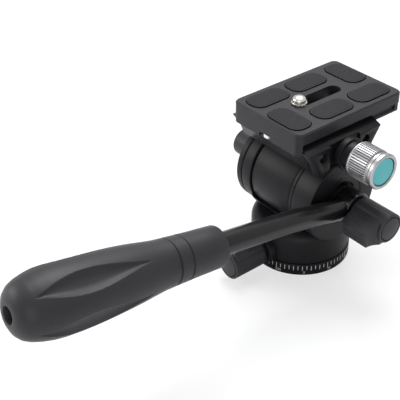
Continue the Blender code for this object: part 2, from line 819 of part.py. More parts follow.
# Tilt axis: end cap, axle, bearings, damper and brake
def build_tilt_inner_parts():
    axis = (0.0, 0.0, tilt_height)
    cap = turned_part("left_end_cap", rounded_disc_profile(
        arm_radius, left_cap_inner, left_cap_outer, arm_edge_round), "black_paint")
    place(cap, axis, toward_left)
    cut_round(cap, "left_cap_hole", axis, toward_left, tilt_lock_stud_radius + fit_gap,
              left_cap_inner - cut_overrun, left_cap_outer + cut_overrun)
    bearing_inner = axle_journal_radius + running_gap
    left_bearing = turned_part("tilt_bearing_left", ring_profile(
        bearing_inner, bearing_inner + left_bearing_wall, arm_inner + fit_gap,
        left_arm_outer - fit_gap), "bronze", medium_segments)
    place(left_bearing, axis, toward_left)
    axle = turned_part("tilt_axle", [
        (0.0, -axle_journal_outer),
        (axle_journal_radius, -axle_journal_outer),
        (axle_journal_radius, -barrel_left - fit_gap),
        (axle_radius, -barrel_left - fit_gap),
        (axle_radius, axle_right),
        (0.0, axle_right),
    ][::-1], "steel", medium_segments)
    place(axle, axis, toward_right)
    cut_round(axle, "axle_thread", axis, toward_right, handle_lock_stud_radius + fit_gap,
              axle_right - handle_lock_stud_reach, axle_right + cut_overrun)
    pad_inner_face = axle_journal_outer + brake_stroke
    pad = turned_part("tilt_brake_pad", plain_disc_profile(
        axle_journal_radius, pad_inner_face, pad_inner_face + brake_pad_thickness),
        "nylon", medium_segments)
    place(pad, axis, toward_left)
    right_bearing = turned_part("tilt_bearing_right", ring_profile(
        axle_radius + fit_gap, axle_radius + fit_gap + right_bearing_wall, right_bearing_left,
        right_bearing_right), "bronze", medium_segments)
    place(right_bearing, axis, toward_right)
    damper_left = -barrel_left + barrel_wall + running_gap
    damper_body_right = barrel_right - barrel_wall - running_gap
    damper = turned_part("tilt_damper_core", [
        (damper_neck_radius, damper_right),
        (damper_neck_radius, damper_body_right),
        (barrel_bore - running_gap, damper_body_right),
        (barrel_bore - running_gap, damper_left),
        (axle_radius + running_gap, damper_left),
        (axle_radius + running_gap, damper_right),
    ], "black_plastic", medium_segments)
    place(damper, axis, toward_right)


def build_barrel():
    axis = (0.0, 0.0, tilt_height)
    edge = barrel_edge_round
    shell = turned_part("tilt_barrel", [
        (barrel_radius - edge, barrel_right),
        (barrel_radius, barrel_right - edge),
        (barrel_radius, -barrel_left + edge),
        (barrel_radius - edge, -barrel_left),
        (axle_radius + fit_gap, -barrel_left),
        (axle_radius + fit_gap, -barrel_left + barrel_wall),
        (barrel_bore, -barrel_left + barrel_wall),
        (barrel_bore, barrel_right - barrel_wall),
        (damper_neck_radius + running_gap, barrel_right - barrel_wall),
        (damper_neck_radius + running_gap, barrel_right),
    ], "black_paint")
    place(shell, axis, toward_right)
    for side, sign in (("front", 1), ("rear", -1)):
        spot = (0.0, sign * platform_screw_spacing / 2, 0.0)
        cut_round(shell, "barrel_screw_hole_" + side, spot, upright,
                  platform_screw_radius + fit_gap, tilt_height + barrel_bore - barrel_wall, clamp_top)
    return shell


# Clamp: platform with the fixed jaw, sliding jaw, guide pins, springs and screw
def clamp_side_outline():
    """The clamp seen along X, as Y against height: wide at the lips, narrow at the barrel."""
    half = [
        (clamp_half_length, clamp_lip_top),
        (clamp_half_length, clamp_top),
        (clamp_waist_half_length, clamp_waist_height),
        (clamp_foot_half_length, clamp_foot_height),
        (clamp_root_half_length, clamp_root_height),
    ]
    return [(-y, z) for y, z in half] + half[::-1]


def jaw_lip(outward):
    """The lip over the dovetail and the slope outside it, as X against height, on one side."""
    drop = dovetail_half_width - dovetail_neck
    gap = running_gap
    neck_top = plate_bottom + dovetail_edge + gap + drop
    points = [
        (clamp_half_width, clamp_top),
        (lip_shoulder, clamp_lip_top),
        (dovetail_neck + gap, clamp_lip_top),
        (dovetail_neck + gap, neck_top),
        (dovetail_half_width + gap, plate_bottom + dovetail_edge + gap),
    ]
    return [(outward * x, z) for x, z in points]


def clamp_block(name, section, material_name):
    """A solid that has the clamp's side outline and the given section across it."""
    block = link_object(name, outline_mesh(name, section, clamp_half_length), material_name)
    block.data.transform(Matrix.Rotation(math.pi / 2, 4, "X"))
    side = link_object(name + "_side", outline_mesh(
        name + "_side", clamp_side_outline(), clamp_half_width + cut_overrun), cutter=True)
    place(side, (0.0, 0.0, 0.0), toward_right)
    cut(block, side, "INTERSECT")
    axis = (0.0, 0.0, tilt_height)
    cut_round(block, name + "_right_arm_space", axis, toward_right, arm_radius + running_gap,
              yoke_throat_half_width, clamp_half_width + cut_overrun, large_segments)
    return block


def build_clamp():
    floor_edge = dovetail_half_width + running_gap
    fixed_section = [(-clamp_half_width, clamp_root_height)]
    fixed_section += jaw_lip(-1)
    fixed_section += [
        (-floor_edge, clamp_floor),
        (clamp_split, clamp_floor),
        (clamp_split, clamp_root_height),
    ]
    base = clamp_block("clamp_base", fixed_section, "black_paint")
    axis = (0.0, 0.0, tilt_height)
    cut_round(base, "clamp_left_arm_space", axis, toward_left, arm_radius + running_gap,
              yoke_throat_half_width, clamp_half_width + cut_overrun, large_segments)
    cut_round(base, "clamp_barrel_space", axis, toward_right, barrel_radius + fit_gap,
              -clamp_half_width, clamp_half_width, large_segments)
    cut_round(base, "clamp_screw_hole", (0.0, 0.0, clamp_screw_height), toward_right,
              clamp_screw_radius + fit_gap, clamp_screw_end - fit_gap, clamp_half_width)
    for side, sign in (("front", 1), ("rear", -1)):
        spot = (0.0, sign * platform_screw_spacing / 2, 0.0)
        cut_round(base, "platform_screw_hole_" + side, spot, upright,
                  platform_screw_radius + fit_gap, clamp_root_height - cut_overrun, clamp_top)
        head_seat = clamp_floor - platform_screw_head_height - 2 * fit_gap
        cut_round(base, "platform_screw_seat_" + side, spot, upright,
                  platform_screw_head_radius + fit_gap, head_seat, clamp_top)
        pin_spot = (0.0, sign * guide_spacing, guide_height)
        pin_start = guide_end - guide_length
        cut_round(base, "guide_pin_seat_" + side, pin_spot, toward_right,
                  guide_radius + fit_gap, pin_start - fit_gap, clamp_half_width)
        cut_round(base, "spring_pocket_" + side, pin_spot, toward_right,
                  spring_pocket_radius, clamp_split - spring_pocket_depth, clamp_half_width)
    inner = clamp_split + jaw_gap
    jaw_section = [(inner, clamp_root_height), (clamp_half_width, clamp_root_height)]
    jaw_section += jaw_lip(1)
    jaw_section += [(inner, plate_bottom + dovetail_edge + running_gap)]
    jaw = clamp_block("clamp_jaw", jaw_section, "black_paint")
    cut_round(jaw, "jaw_screw_hole", (0.0, 0.0, clamp_screw_height), toward_right,
              clamp_screw_radius + fit_gap, clamp_split, clamp_half_width + cut_overrun)
    pocket_low = (clamp_half_width - collar_pocket_depth, -collar_pocket_half, collar_pocket_bottom)
    pocket_high = (clamp_half_width + cut_overrun, collar_pocket_half, clamp_lip_top + cut_overrun)
    cut_box(jaw, "collar_pocket", pocket_low, pocket_high)
    for side, sign in (("front", 1), ("rear", -1)):
        pin_spot = (0.0, sign * guide_spacing, guide_height)
        cut_round(jaw, "jaw_guide_hole_" + side, pin_spot, toward_right,
                  guide_hole_radius, clamp_split, clamp_half_width + cut_overrun)
    build_clamp_fasteners()
    build_clamp_knob()


def build_clamp_fasteners():
    for side, sign in (("front", 1), ("rear", -1)):
        spot = (0.0, sign * guide_spacing, guide_height)
        pin = turned_part("guide_pin_" + side, plain_disc_profile(
            guide_radius, guide_end - guide_length, guide_end), "steel", small_segments)
        place(pin, spot, toward_right)
        start = clamp_split - spring_pocket_depth + spring_wire_radius + fit_gap
        end = clamp_split + jaw_gap - spring_wire_radius - fit_gap
        coil = []
        count = 8 * spring_turns
        for step in range(count + 1):
            angle = 2 * math.pi * step / 8
            coil.append((start + (end - start) * step / count,
                         spot[1] + spring_coil_radius * math.cos(angle),
                         spot[2] + spring_coil_radius * math.sin(angle)))
        link_object("jaw_spring_" + side, tube_mesh("jaw_spring_" + side, coil,
                                                    spring_wire_radius, 1), "steel")
        screw_spot = (0.0, sign * platform_screw_spacing / 2, 0.0)
        head_top = clamp_floor - fit_gap
        head_bottom = head_top - platform_screw_head_height
        screw = turned_part("platform_screw_" + side, [
            (0.0, head_top),
            (platform_screw_head_radius, head_top),
            (platform_screw_head_radius, head_bottom),
            (platform_screw_radius, head_bottom),
            (platform_screw_radius, platform_screw_end),
            (0.0, platform_screw_end),
        ], "steel", small_segments)
        place(screw, screw_spot)
    axis = (0.0, 0.0, clamp_screw_height)
    collar = turned_part("clamp_collar", [
        (collar_step_radius, collar_outer),
        (collar_step_radius, collar_step),
        (collar_radius, collar_step - running_gap),
        (collar_radius, collar_face),
        (collar_neck_radius, collar_face),
        (collar_neck_radius, collar_inner),
        (clamp_screw_radius + fit_gap, collar_inner),
        (clamp_screw_radius + fit_gap, collar_outer),
    ], "black_paint", medium_segments)
    place(collar, axis, toward_right)
    rod_end = clamp_knob_inner + clamp_knob_bore_depth - fit_gap
    rod = turned_part("clamp_screw", plain_disc_profile(
        clamp_screw_radius, clamp_screw_end, rod_end), "steel", small_segments)
    place(rod, axis, toward_right)


def build_clamp_knob():
    """A turned knob with straight ribs, a neck, a front rim and a sunk disc."""
    axis = (0.0, 0.0, clamp_screw_height)
    edge = clamp_knob_edge
    disc_seat = clamp_knob_outer - clamp_knob_disc_sink - clamp_knob_disc_depth
    pocket = clamp_knob_disc_radius + fit_gap
    bore = clamp_screw_radius + fit_gap
    bore_end = clamp_knob_inner + clamp_knob_bore_depth
    stations = [
        (clamp_knob_outer, clamp_knob_radius - edge, 0),
        (clamp_knob_outer - edge, clamp_knob_radius, 0),
        (clamp_knob_rim_start, clamp_knob_radius, 0),
        (clamp_knob_neck, clamp_knob_neck_radius, 0),
        (clamp_knob_knurl_end, clamp_knob_neck_radius + running_gap, 0),
        (clamp_knob_knurl_end, clamp_knob_radius, 1),
        (clamp_knob_knurl_start, clamp_knob_radius, 1),
        (clamp_knob_knurl_start, clamp_knob_radius, 0),
        (clamp_knob_inner, clamp_knob_radius - edge, 0),
        (clamp_knob_inner, bore, 0),
        (bore_end, bore, 0),
    ]
    count = 2 * clamp_knob_ribs

    def build(work):
        loops = []
        for height, radius, ribbed in stations:
            loop = []
            for index in range(count):
                angle = 2 * math.pi * index / count
                reach = radius - ribbed * clamp_knob_rib_depth * (index % 2)
                loop.append(work.verts.new((reach * math.cos(angle), reach * math.sin(angle), height)))
            loops.append(loop)
        for upper, lower in zip(loops, loops[1:]):
            for index in range(count):
                following = (index + 1) % count
                work.faces.new((upper[index], lower[index], lower[following], upper[following]))
        work.faces.new(loops[-1])
        pocket_loops = []
        for height, radius in ((clamp_knob_outer, pocket), (disc_seat, pocket)):
            loop = []
            for index in range(count):
                angle = 2 * math.pi * index / count
                loop.append(work.verts.new((radius * math.cos(angle), radius * math.sin(angle), height)))
            pocket_loops.append(loop)
        for index in range(count):
            following = (index + 1) % count
            work.faces.new((loops[0][index], loops[0][following],
                            pocket_loops[0][following], pocket_loops[0][index]))
            work.faces.new((pocket_loops[0][index], pocket_loops[0][following],
                            pocket_loops[1][following], pocket_loops[1][index]))
        work.faces.new(pocket_loops[1])
    knob = link_object("clamp_knob", mesh_from("clamp_knob", build), "silver_aluminium")
    place(knob, axis, toward_right)
    disc = turned_part("clamp_knob_disc", plain_disc_profile(
        clamp_knob_disc_radius, disc_seat + fit_gap, clamp_knob_outer - clamp_knob_disc_sink),
        "teal_disc", medium_segments)
    place(disc, axis, toward_right)


# Lever knobs
def build_lever_knob(prefix, location, rotation, wing_angle, stud_radius, stud_reach):
    """A hub with one wing and an end cap, on a stud that runs stud_reach behind the hub."""
    hub = turned_part(prefix + "_knob", [
        (0.0, lever_length),
        (lever_hub_radius - lever_edge_round, lever_length),
        (lever_hub_radius - lever_edge_round * (1 - math.sin(math.pi / 4)),
         lever_length - lever_edge_round * (1 - math.cos(math.pi / 4))),
        (lever_hub_radius, lever_length - lever_edge_round),
        (lever_hub_radius, lever_wing_start),
        (lever_root_radius, 0.0),
        (0.0, 0.0),
    ], "black_plastic", medium_segments)
    place(hub, location, rotation)
    wing = link_object(prefix + "_wing_union", box_mesh(
        prefix + "_wing_union",
        (0.0, -lever_wing_half_thickness, lever_wing_start),
        (lever_wing_reach, lever_wing_half_thickness, lever_wing_end), lever_wing_round), cutter=True)
    wing.data.transform(Matrix.Rotation(wing_angle, 4, "Z"))
    place(wing, location, rotation)
    cut(hub, wing, "UNION")
    cut_round(hub, prefix + "_stud_bore", location, rotation, stud_radius + fit_gap,
              -cut_overrun, lever_bore_depth)
    cut_round(hub, prefix + "_cap_seat", location, rotation, lever_cap_radius + fit_gap,
              lever_length - lever_cap_depth - fit_gap, lever_length + cut_overrun, medium_segments)
    cap = turned_part(prefix + "_cap", rounded_disc_profile(
        lever_cap_radius, lever_length - lever_cap_depth, lever_length + lever_cap_rise,
        lever_cap_edge), "black_plastic", medium_segments)
    place(cap, location, rotation)
    stud = turned_part(prefix + "_stud", plain_disc_profile(
        stud_radius, -stud_reach, lever_bore_depth - fit_gap), "steel", small_segments)
    place(stud, location, rotation)


def build_locks():
    pan_seat = lock_boss_reach + lever_seat_gap
    shoe_face = brake_drum_radius + pan_shoe_stroke
    shoe_back = shoe_face + pan_shoe_length
    build_lever_knob("pan_lock", (0.0, -pan_seat, pan_lock_height), toward_rear,
                     pan_lever_angle, pan_lock_stud_radius, pan_seat - shoe_back - fit_gap)
    shoe = turned_part("pan_brake_shoe", plain_disc_profile(
        pan_shoe_radius, shoe_face, shoe_back), "nylon", small_segments)
    place(shoe, (0.0, 0.0, pan_lock_height), toward_rear)
    tilt_seat = left_cap_outer + lever_seat_gap
    pad_back = axle_journal_outer + brake_stroke + brake_pad_thickness
    build_lever_knob("tilt_lock", (-tilt_seat, 0.0, tilt_height), toward_left,
                     tilt_lever_angle, tilt_lock_stud_radius, tilt_seat - pad_back - fit_gap)
    handle_seat = handle_eye_outer + lever_seat_gap
    build_lever_knob("handle_lock", (handle_seat, 0.0, tilt_height), toward_right,
                     math.pi - handle_lever_angle, handle_lock_stud_radius,
                     handle_seat - axle_right + handle_lock_stud_reach - fit_gap)


# Handle: rosette, eye, bent tube and grip
def build_rosette():
    def build(work):
        count = 2 * rosette_teeth
        hub_inner = handle_lock_stud_radius + fit_gap
        levels = [
            (rosette_outer, rosette_radius, rosette_tooth_depth),
            (axle_right + fit_gap, rosette_radius, 0.0),
            (axle_right + fit_gap, hub_inner, 0.0),
            (rosette_outer - rosette_tooth_depth, hub_inner, 0.0),
        ]
        loops = []
        for height, radius, tooth in levels:
            loop = []
            for index in range(count):
                angle = 2 * math.pi * index / count
                level = height - tooth * (index % 2)
                loop.append(work.verts.new((radius * math.cos(angle), radius * math.sin(angle), level)))
            loops.append(loop)
        for upper, lower in zip(loops, loops[1:] + loops[:1]):
            for index in range(count):
                following = (index + 1) % count
                work.faces.new((upper[index], lower[index], lower[following], upper[following]))
    rosette = link_object("handle_rosette", mesh_from("handle_rosette", build), "steel")
    place(rosette, (0.0, 0.0, tilt_height), toward_right)


def handle_line():
    """Points of the tube's middle, from the eye to inside the grip, read from a smooth curve."""
    stops = [
        (handle_start_reach, handle_start_rise),
        (handle_mid_reach, handle_mid_rise),
        (handle_knee_reach, handle_knee_rise),
        (grip_start_reach, grip_start_rise),
    ]
    tail = (grip_start_reach + (grip_end_reach - grip_start_reach) * handle_tube_end_share,
            grip_start_rise + (grip_end_rise - grip_start_rise) * handle_tube_end_share)
    points = []
    padded = [(2 * stops[0][0] - stops[1][0], 2 * stops[0][1] - stops[1][1])] + stops + [tail]
    for index in range(1, len(padded) - 2):
        before, start, end, after = [Vector(padded[index + shift]) for shift in (-1, 0, 1, 2)]
        for step in range(corner_steps):
            t = step / corner_steps
            spot = 0.5 * (2 * start + (end - before) * t
                          + (2 * before - 5 * start + 4 * end - after) * t ** 2
                          + (3 * start - before - 3 * end + after) * t ** 3)
            points.append((handle_plane, -spot.x, tilt_height + spot.y))
    points.append((handle_plane, -stops[-1][0], tilt_height + stops[-1][1]))
    points.append((handle_plane, -tail[0], tilt_height + tail[1]))
    return points


def build_handle():
    axis = (0.0, 0.0, tilt_height)
    eye = turned_part("handle_eye", rounded_disc_profile(
        handle_eye_radius, handle_eye_inner, handle_eye_outer, handle_eye_round), "gloss_black",
        medium_segments)
    place(eye, axis, toward_right)
    route = handle_line()
    first = Vector(route[0])
    direction = (Vector(route[1]) - first).normalized()
    neck_end = first - direction * fit_gap
    neck_start = neck_end - direction * handle_neck_length
    neck = link_object("eye_neck_union", tube_mesh(
        "eye_neck_union", [neck_start, neck_end], handle_neck_radius, 6), cutter=True)
    cut(eye, neck, "UNION")
    bore_line = [first - direction * (handle_spigot_length + fit_gap),
                 first + direction * cut_overrun]
    bore = link_object("eye_neck_bore", tube_mesh(
        "eye_neck_bore", bore_line, handle_spigot_radius + fit_gap, 6), cutter=True)
    cut(eye, bore)
    cut_round(eye, "eye_stud_hole", axis, toward_right, handle_lock_stud_radius + fit_gap,
              handle_eye_inner - cut_overrun, handle_eye_outer + cut_overrun)
    tube = link_object("handle_tube", tube_mesh("handle_tube", route, handle_tube_radius, 6),
                       "gloss_black")
    spigot_line = [first - direction * handle_spigot_length,
                   first + direction * handle_spigot_length]
    spigot = link_object("tube_spigot_union", tube_mesh(
        "tube_spigot_union", spigot_line, handle_spigot_radius, 6), cutter=True)
    cut(tube, spigot, "UNION")
    bore_start = first + direction * (handle_spigot_length + handle_tube_radius)
    hollow_line = [bore_start] + [Vector(point) for point in route[3:]]
    tail_direction = (hollow_line[-1] - hollow_line[-2]).normalized()
    hollow_line[-1] = hollow_line[-1] + tail_direction * cut_overrun
    hollow = link_object("tube_hollow", tube_mesh(
        "tube_hollow", hollow_line, handle_tube_radius - handle_tube_wall, 4), cutter=True)
    cut(tube, hollow)
    build_grip()


def grip_profile(length):
    """The grip's outer line from its front end, swelling to a belly and a rounded tail."""
    shares = [
        (0.000, 0.930), (0.012, 1.000), (0.100, 1.030), (0.200, 1.070), (0.260, 1.110),
    ]
    outer = [(grip_front_radius * radius_share, length * length_share)
             for length_share, radius_share in shares]
    belly_shares = [
        (0.380, 0.830), (0.500, 0.920), (0.620, 0.980), (0.720, 1.000), (0.800, 0.985),
        (0.870, 0.930), (0.925, 0.830), (0.965, 0.690), (0.990, 0.510), (1.000, 0.330),
    ]
    outer += [(grip_belly_radius * radius_share, length * length_share)
              for length_share, radius_share in belly_shares]
    return outer


def build_grip():
    start = Vector((handle_plane, -grip_start_reach, tilt_height + grip_start_rise))
    end = Vector((handle_plane, -grip_end_reach, tilt_height + grip_end_rise))
    grip = link_object("handle_grip", grip_mesh((end - start).length), "rubber")
    grip.rotation_mode = "QUATERNION"
    grip.rotation_quaternion = (end - start).to_track_quat("Z", "X")
    grip.location = start


def fluted_radius(share, radius, angle):
    """The grip's radius at a share of its length, less the depth of the leaf shaped flute there."""
    flute_start, flute_end = grip_flute_shares
    along = (share - flute_start) / (flute_end - flute_start)
    if not 0.0 < along < 1.0:
        return radius
    leaf = math.sin(math.pi * along ** grip_leaf_lean_share)
    spread = grip_flute_spread * leaf ** grip_leaf_lean_share
    pitch = 2 * math.pi / grip_flute_count
    away = (angle - grip_flute_turn + pitch / 2) % pitch - pitch / 2
    if abs(away) >= spread:
        return radius
    return radius - grip_flute_depth * leaf ** grip_leaf_depth_share * (1 - (away / spread) ** 2)


def grip_loop(length):
    """The grip's closed section, as radius, height and whether the flutes cut into it.

    It is hollow in the belly, with a blind hole in the tail, and both ends of the hollow
    close down to sleeves that hold the tube.
    """
    outside = [(radius, height, True) for radius, height in grip_profile(length)[::-1]]
    bore = handle_tube_radius + fit_gap
    bore_end = length * handle_tube_end_share + fit_gap
    hole_start = length - grip_tail_hole_depth
    hollow = grip_belly_radius - grip_wall
    front_shut_share, front_open_share, rear_open_share, rear_shut_share = grip_hollow_shares
    tail_hole = [
        (grip_tail_hole_radius, hole_start, False),
        (grip_tail_hole_radius, outside[0][1], False),
    ]
    inside = [
        (bore, 0.0, False),
        (bore, length * front_shut_share, False),
        (hollow, length * front_open_share, False),
        (hollow, length * rear_open_share, False),
        (bore, length * rear_shut_share, False),
        (bore, bore_end, False),
    ]
    return tail_hole + outside + inside


def grip_mesh(length):
    def build(work):
        loops = []
        for radius, height, fluted in grip_loop(length):
            loop = []
            for index in range(medium_segments):
                angle = 2 * math.pi * index / medium_segments
                reach = fluted_radius(height / length, radius, angle) if fluted else radius
                loop.append(work.verts.new((reach * math.cos(angle), reach * math.sin(angle), height)))
            loops.append(loop)
        for upper, lower in zip(loops, loops[1:]):
            for index in range(medium_segments):
                following = (index + 1) % medium_segments
                work.faces.new((upper[index], lower[index], lower[following], upper[following]))
        work.faces.new(loops[0])
        work.faces.new(loops[-1])
    return mesh_from("handle_grip", build)


# Quick release plate, its pads and screws
def plate_location():
    return (0.0, plate_shift, 0.0)


def plate_block_mesh():
    outline = rounded_rectangle(plate_width / 2, plate_length / 2, plate_corner, 4)
    half = (plate_top - plate_bottom) / 2
    mesh = outline_mesh("qr_plate", outline, half)
    mesh.transform(Matrix.Translation((0.0, plate_shift, plate_bottom + half)))
    work = bmesh.new()
    work.from_mesh(mesh)
    rim = [edge for edge in work.edges
           if all(abs(vertex.co.z - plate_top) < weld_distance for vertex in edge.verts)
           and any(abs(face.normal.z) < 0.5 for face in edge.link_faces)]
    bmesh.ops.bevel(work, geom=rim, offset=plate_edge, affect="EDGES", segments=1, profile=0.5,
                    material=-1)
    work.to_mesh(mesh)
    work.free()
    mesh.shade_smooth()
    mesh.set_sharp_from_angle(angle=math.radians(32))
    return mesh


def build_plate():
    plate = link_object("qr_plate", plate_block_mesh(), "dark_anodised")
    neck_top = plate_bottom + dovetail_edge + dovetail_half_width - dovetail_neck
    edge_top = plate_bottom + dovetail_edge
    outside = plate_width / 2 + cut_overrun
    groove_half = plate_length / 2 - plate_end_wall
    for name, sign in (("right", 1), ("left", -1)):
        outline = [
            (sign * dovetail_half_width, plate_bottom - cut_overrun),
            (sign * dovetail_half_width, edge_top),
            (sign * dovetail_neck, neck_top),
            (sign * dovetail_neck, plate_slab_bottom),
            (sign * outside, plate_slab_bottom),
            (sign * outside, plate_bottom - cut_overrun),
        ]
        groove = link_object("plate_groove_" + name, outline_mesh(
            "plate_groove_" + name, outline, groove_half), cutter=True)
        groove.data.transform(Matrix.Rotation(math.pi / 2, 4, "X"))
        place(groove, plate_location())
        cut(plate, groove)
        step_x = sorted((sign * dovetail_half_width, sign * outside))
        cut_box(plate, "plate_front_step_" + name,
                (step_x[0], plate_shift + groove_half - cut_overrun, plate_bottom - cut_overrun),
                (step_x[1], plate_shift + plate_length / 2 + cut_overrun, plate_slab_bottom))
    cut_box(plate, "plate_channel",
            (-plate_channel_half_width, plate_shift - plate_length / 2 - cut_overrun,
             plate_bottom - cut_overrun),
            (plate_channel_half_width, plate_shift + plate_length / 2 + cut_overrun,
             plate_bottom + plate_channel_depth))
    cut_box(plate, "plate_screw_recess",
            (-slot_recess_half_width, plate_shift - slot_recess_half_length,
             plate_bottom - cut_overrun),
            (slot_recess_half_width, plate_shift + slot_recess_half_length,
             plate_bottom + slot_recess_depth))
    slot = link_object("plate_slot", outline_mesh("plate_slot", rounded_rectangle(
        slot_half_length, slot_half_width, slot_half_width - weld_distance), plate_top - plate_bottom),
        cutter=True)
    place(slot, (0.0, plate_shift - slot_setback, plate_top), (0.0, 0.0, math.pi / 2))
    cut(plate, slot)
    build_pads(plate)
    build_plate_screws(plate)


def pad_places():
    """Six pads in a pinwheel: name, X, Y from the plate's middle, and whether it lies across."""
    return [
        ("rear_left", -pad_side_offset, -pad_row_far, False),
        ("middle_left", -pad_side_offset, pad_row_near, False),
        ("front_left", -pad_turned_offset, pad_row_end, True),
        ("front_right", pad_side_offset, pad_row_far, False),
        ("middle_right", pad_side_offset, -pad_row_near, False),
        ("rear_right", pad_turned_offset, -pad_row_end, True),
    ]


def build_pads(plate):
    for name, x, y, across in pad_places():
        turn = 0.0 if across else math.pi / 2
        spot = (x, plate_shift + y, plate_top)
        pocket = link_object("pad_pocket_" + name, outline_mesh(
            "pad_pocket_" + name, rounded_rectangle(
                pad_length / 2 + fit_gap, pad_width / 2 + fit_gap, pad_corner + fit_gap),
            pad_depth), cutter=True)
        place(pocket, spot, (0.0, 0.0, turn))
        cut(plate, pocket)
        thickness = pad_depth - fit_gap + pad_rise
        pad = link_object("pad_" + name, outline_mesh("pad_" + name, rounded_rectangle(
            pad_length / 2, pad_width / 2, pad_corner), thickness / 2), "rubber")
        place(pad, (spot[0], spot[1], plate_top + pad_rise - thickness / 2), (0.0, 0.0, turn))


def build_plate_screws(plate):
    spot = (0.0, plate_shift - camera_screw_offset, 0.0)
    recess_top = plate_bottom + slot_recess_depth
    washer_bottom = recess_top - fit_gap - screw_washer_height
    washer = turned_part("camera_screw_washer", ring_profile(
        camera_screw_radius + fit_gap, screw_washer_radius, washer_bottom,
        recess_top - fit_gap), "steel", small_segments)
    place(washer, spot)
    head_top = washer_bottom - fit_gap
    head_bottom = head_top - camera_screw_head_height
    ring_bottom = plate_top + fit_gap
    screw = turned_part("camera_screw", [
        (0.0, camera_screw_top),
        (camera_screw_radius - camera_screw_chamfer, camera_screw_top),
        (camera_screw_radius, camera_screw_top - camera_screw_chamfer),
        (camera_screw_radius, ring_bottom + camera_screw_ring_height),
        (camera_screw_ring_radius, ring_bottom + camera_screw_ring_height),
        (camera_screw_ring_radius, ring_bottom),
        (camera_screw_radius, ring_bottom),
        (camera_screw_radius, head_top),
        (camera_screw_head_radius, head_top),
        (camera_screw_head_radius, head_bottom),
        (0.0, head_bottom),
    ], "steel", small_segments)
    place(screw, spot)
    cut_box(screw, "camera_screw_slot",
            (-camera_screw_head_radius - cut_overrun, spot[1] - camera_screw_slot_half_width,
             head_bottom - cut_overrun),
            (camera_screw_head_radius + cut_overrun, spot[1] + camera_screw_slot_half_width,
             head_bottom + camera_screw_slot_depth))
    for side, sign in (("front", 1), ("rear", -1)):
        stop_y = plate_shift + sign * (plate_length / 2 - stop_screw_inset)
        top = plate_bottom + plate_channel_depth - fit_gap
        stop = turned_part("stop_screw_" + side, plain_disc_profile(
            stop_screw_radius, top - stop_screw_height, top), "steel", small_segments)
        place(stop, (0.0, stop_y, 0.0))


build_base()
build_pan_inner_parts()
build_housing()
build_tilt_inner_parts()
build_barrel()
build_clamp()
build_locks()
build_rosette()
build_handle()
build_plate()
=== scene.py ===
# %% [markdown]
# # A fluid video head, dressed in cells
#
# This lesson dresses a imported model of a small fluid video head for a tripod. The packed
# model brings every solid at its size and place, and each piece made here stays within it.
# Shapes and tones finer than that were read from one photograph.
#
# Lengths are in metres. +Z is up, +Y points to the lens and +X points to the handle.

# %% Load the imported model
import json
import math

import bmesh
import bpy
from mathutils import Matrix, Vector


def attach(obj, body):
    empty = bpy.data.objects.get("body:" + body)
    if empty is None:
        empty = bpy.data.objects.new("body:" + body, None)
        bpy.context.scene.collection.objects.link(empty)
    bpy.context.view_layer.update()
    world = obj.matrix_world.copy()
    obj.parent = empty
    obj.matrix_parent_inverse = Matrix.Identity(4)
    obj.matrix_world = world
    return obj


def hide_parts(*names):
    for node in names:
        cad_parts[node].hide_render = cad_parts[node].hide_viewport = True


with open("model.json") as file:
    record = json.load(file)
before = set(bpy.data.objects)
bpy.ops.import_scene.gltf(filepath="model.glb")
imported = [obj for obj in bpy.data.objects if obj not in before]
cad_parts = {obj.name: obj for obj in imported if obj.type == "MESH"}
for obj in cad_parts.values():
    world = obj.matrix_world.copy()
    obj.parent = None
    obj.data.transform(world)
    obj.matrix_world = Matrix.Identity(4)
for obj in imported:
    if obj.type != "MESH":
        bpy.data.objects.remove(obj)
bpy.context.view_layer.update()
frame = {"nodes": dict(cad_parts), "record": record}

# %% [markdown]
# ## Where the axes are
#
# Most of a head like this is turned on a lathe. A turned piece is easy to draw about its own
# Z axis, and then one matrix lays that axis along the tilt axis or the pan lock. The matrices
# are named for the way the piece's own Z axis points afterwards.

# %% Axes and small lengths
mm = 0.001
tilt_z = 46.5 * mm
pan_lock_z = 11.2 * mm
clamp_screw_z = 76.0 * mm
hair = 0.02 * mm
weld = 0.002 * mm
quarter = math.pi / 2
fine_turn = 144
mid_turn = 96
small_turn = 72


def laid(direction, x=0.0, y=0.0, z=0.0):
    """A matrix that puts a piece's own Z axis along a direction, through a point."""
    tip, swing = {
        "up": (0.0, 0.0),
        "right": (quarter, quarter),
        "left": (quarter, -quarter),
        "rear": (quarter, 0.0),
    }[direction]
    turned = Matrix.Rotation(swing, 4, "Z") @ Matrix.Rotation(tip, 4, "X")
    return Matrix.Translation((x, y, z)) @ turned


upright = laid("up")
tilt_right = laid("right", z=tilt_z)
tilt_left = laid("left", z=tilt_z)
clamp_right = laid("right", z=clamp_screw_z)
pan_rear = laid("rear", z=pan_lock_z)
print("tilt axis height in mm:", tilt_z / mm)

# %% [markdown]
# ## Node groups that several finishes share
#
# Cast and painted metal is never one flat colour. It has a fine grain in its surface, and a
# soft change of tone and gloss over the piece, where fingers and dust have been. Both are
# made once here as node groups with named inputs, and each material places them with its own
# values. They read Object coordinates, so the grain stays fixed to the piece.

# %% Grain and tone groups
def new_group(name, inputs, outputs):
    group = bpy.data.node_groups.new(name, "ShaderNodeTree")
    for label, kind, value in inputs:
        socket = group.interface.new_socket(name=label, in_out="INPUT", socket_type=kind)
        socket.default_value = value
    for label, kind in outputs:
        group.interface.new_socket(name=label, in_out="OUTPUT", socket_type=kind)
    start = group.nodes.new("NodeGroupInput")
    end = group.nodes.new("NodeGroupOutput")
    return group, start, end


def join(tree, rows):
    """Links nodes: each row is a node, its output, the next node and its input."""
    for source, output, target, socket in rows:
        tree.links.new(source.outputs[output], target.inputs[socket])


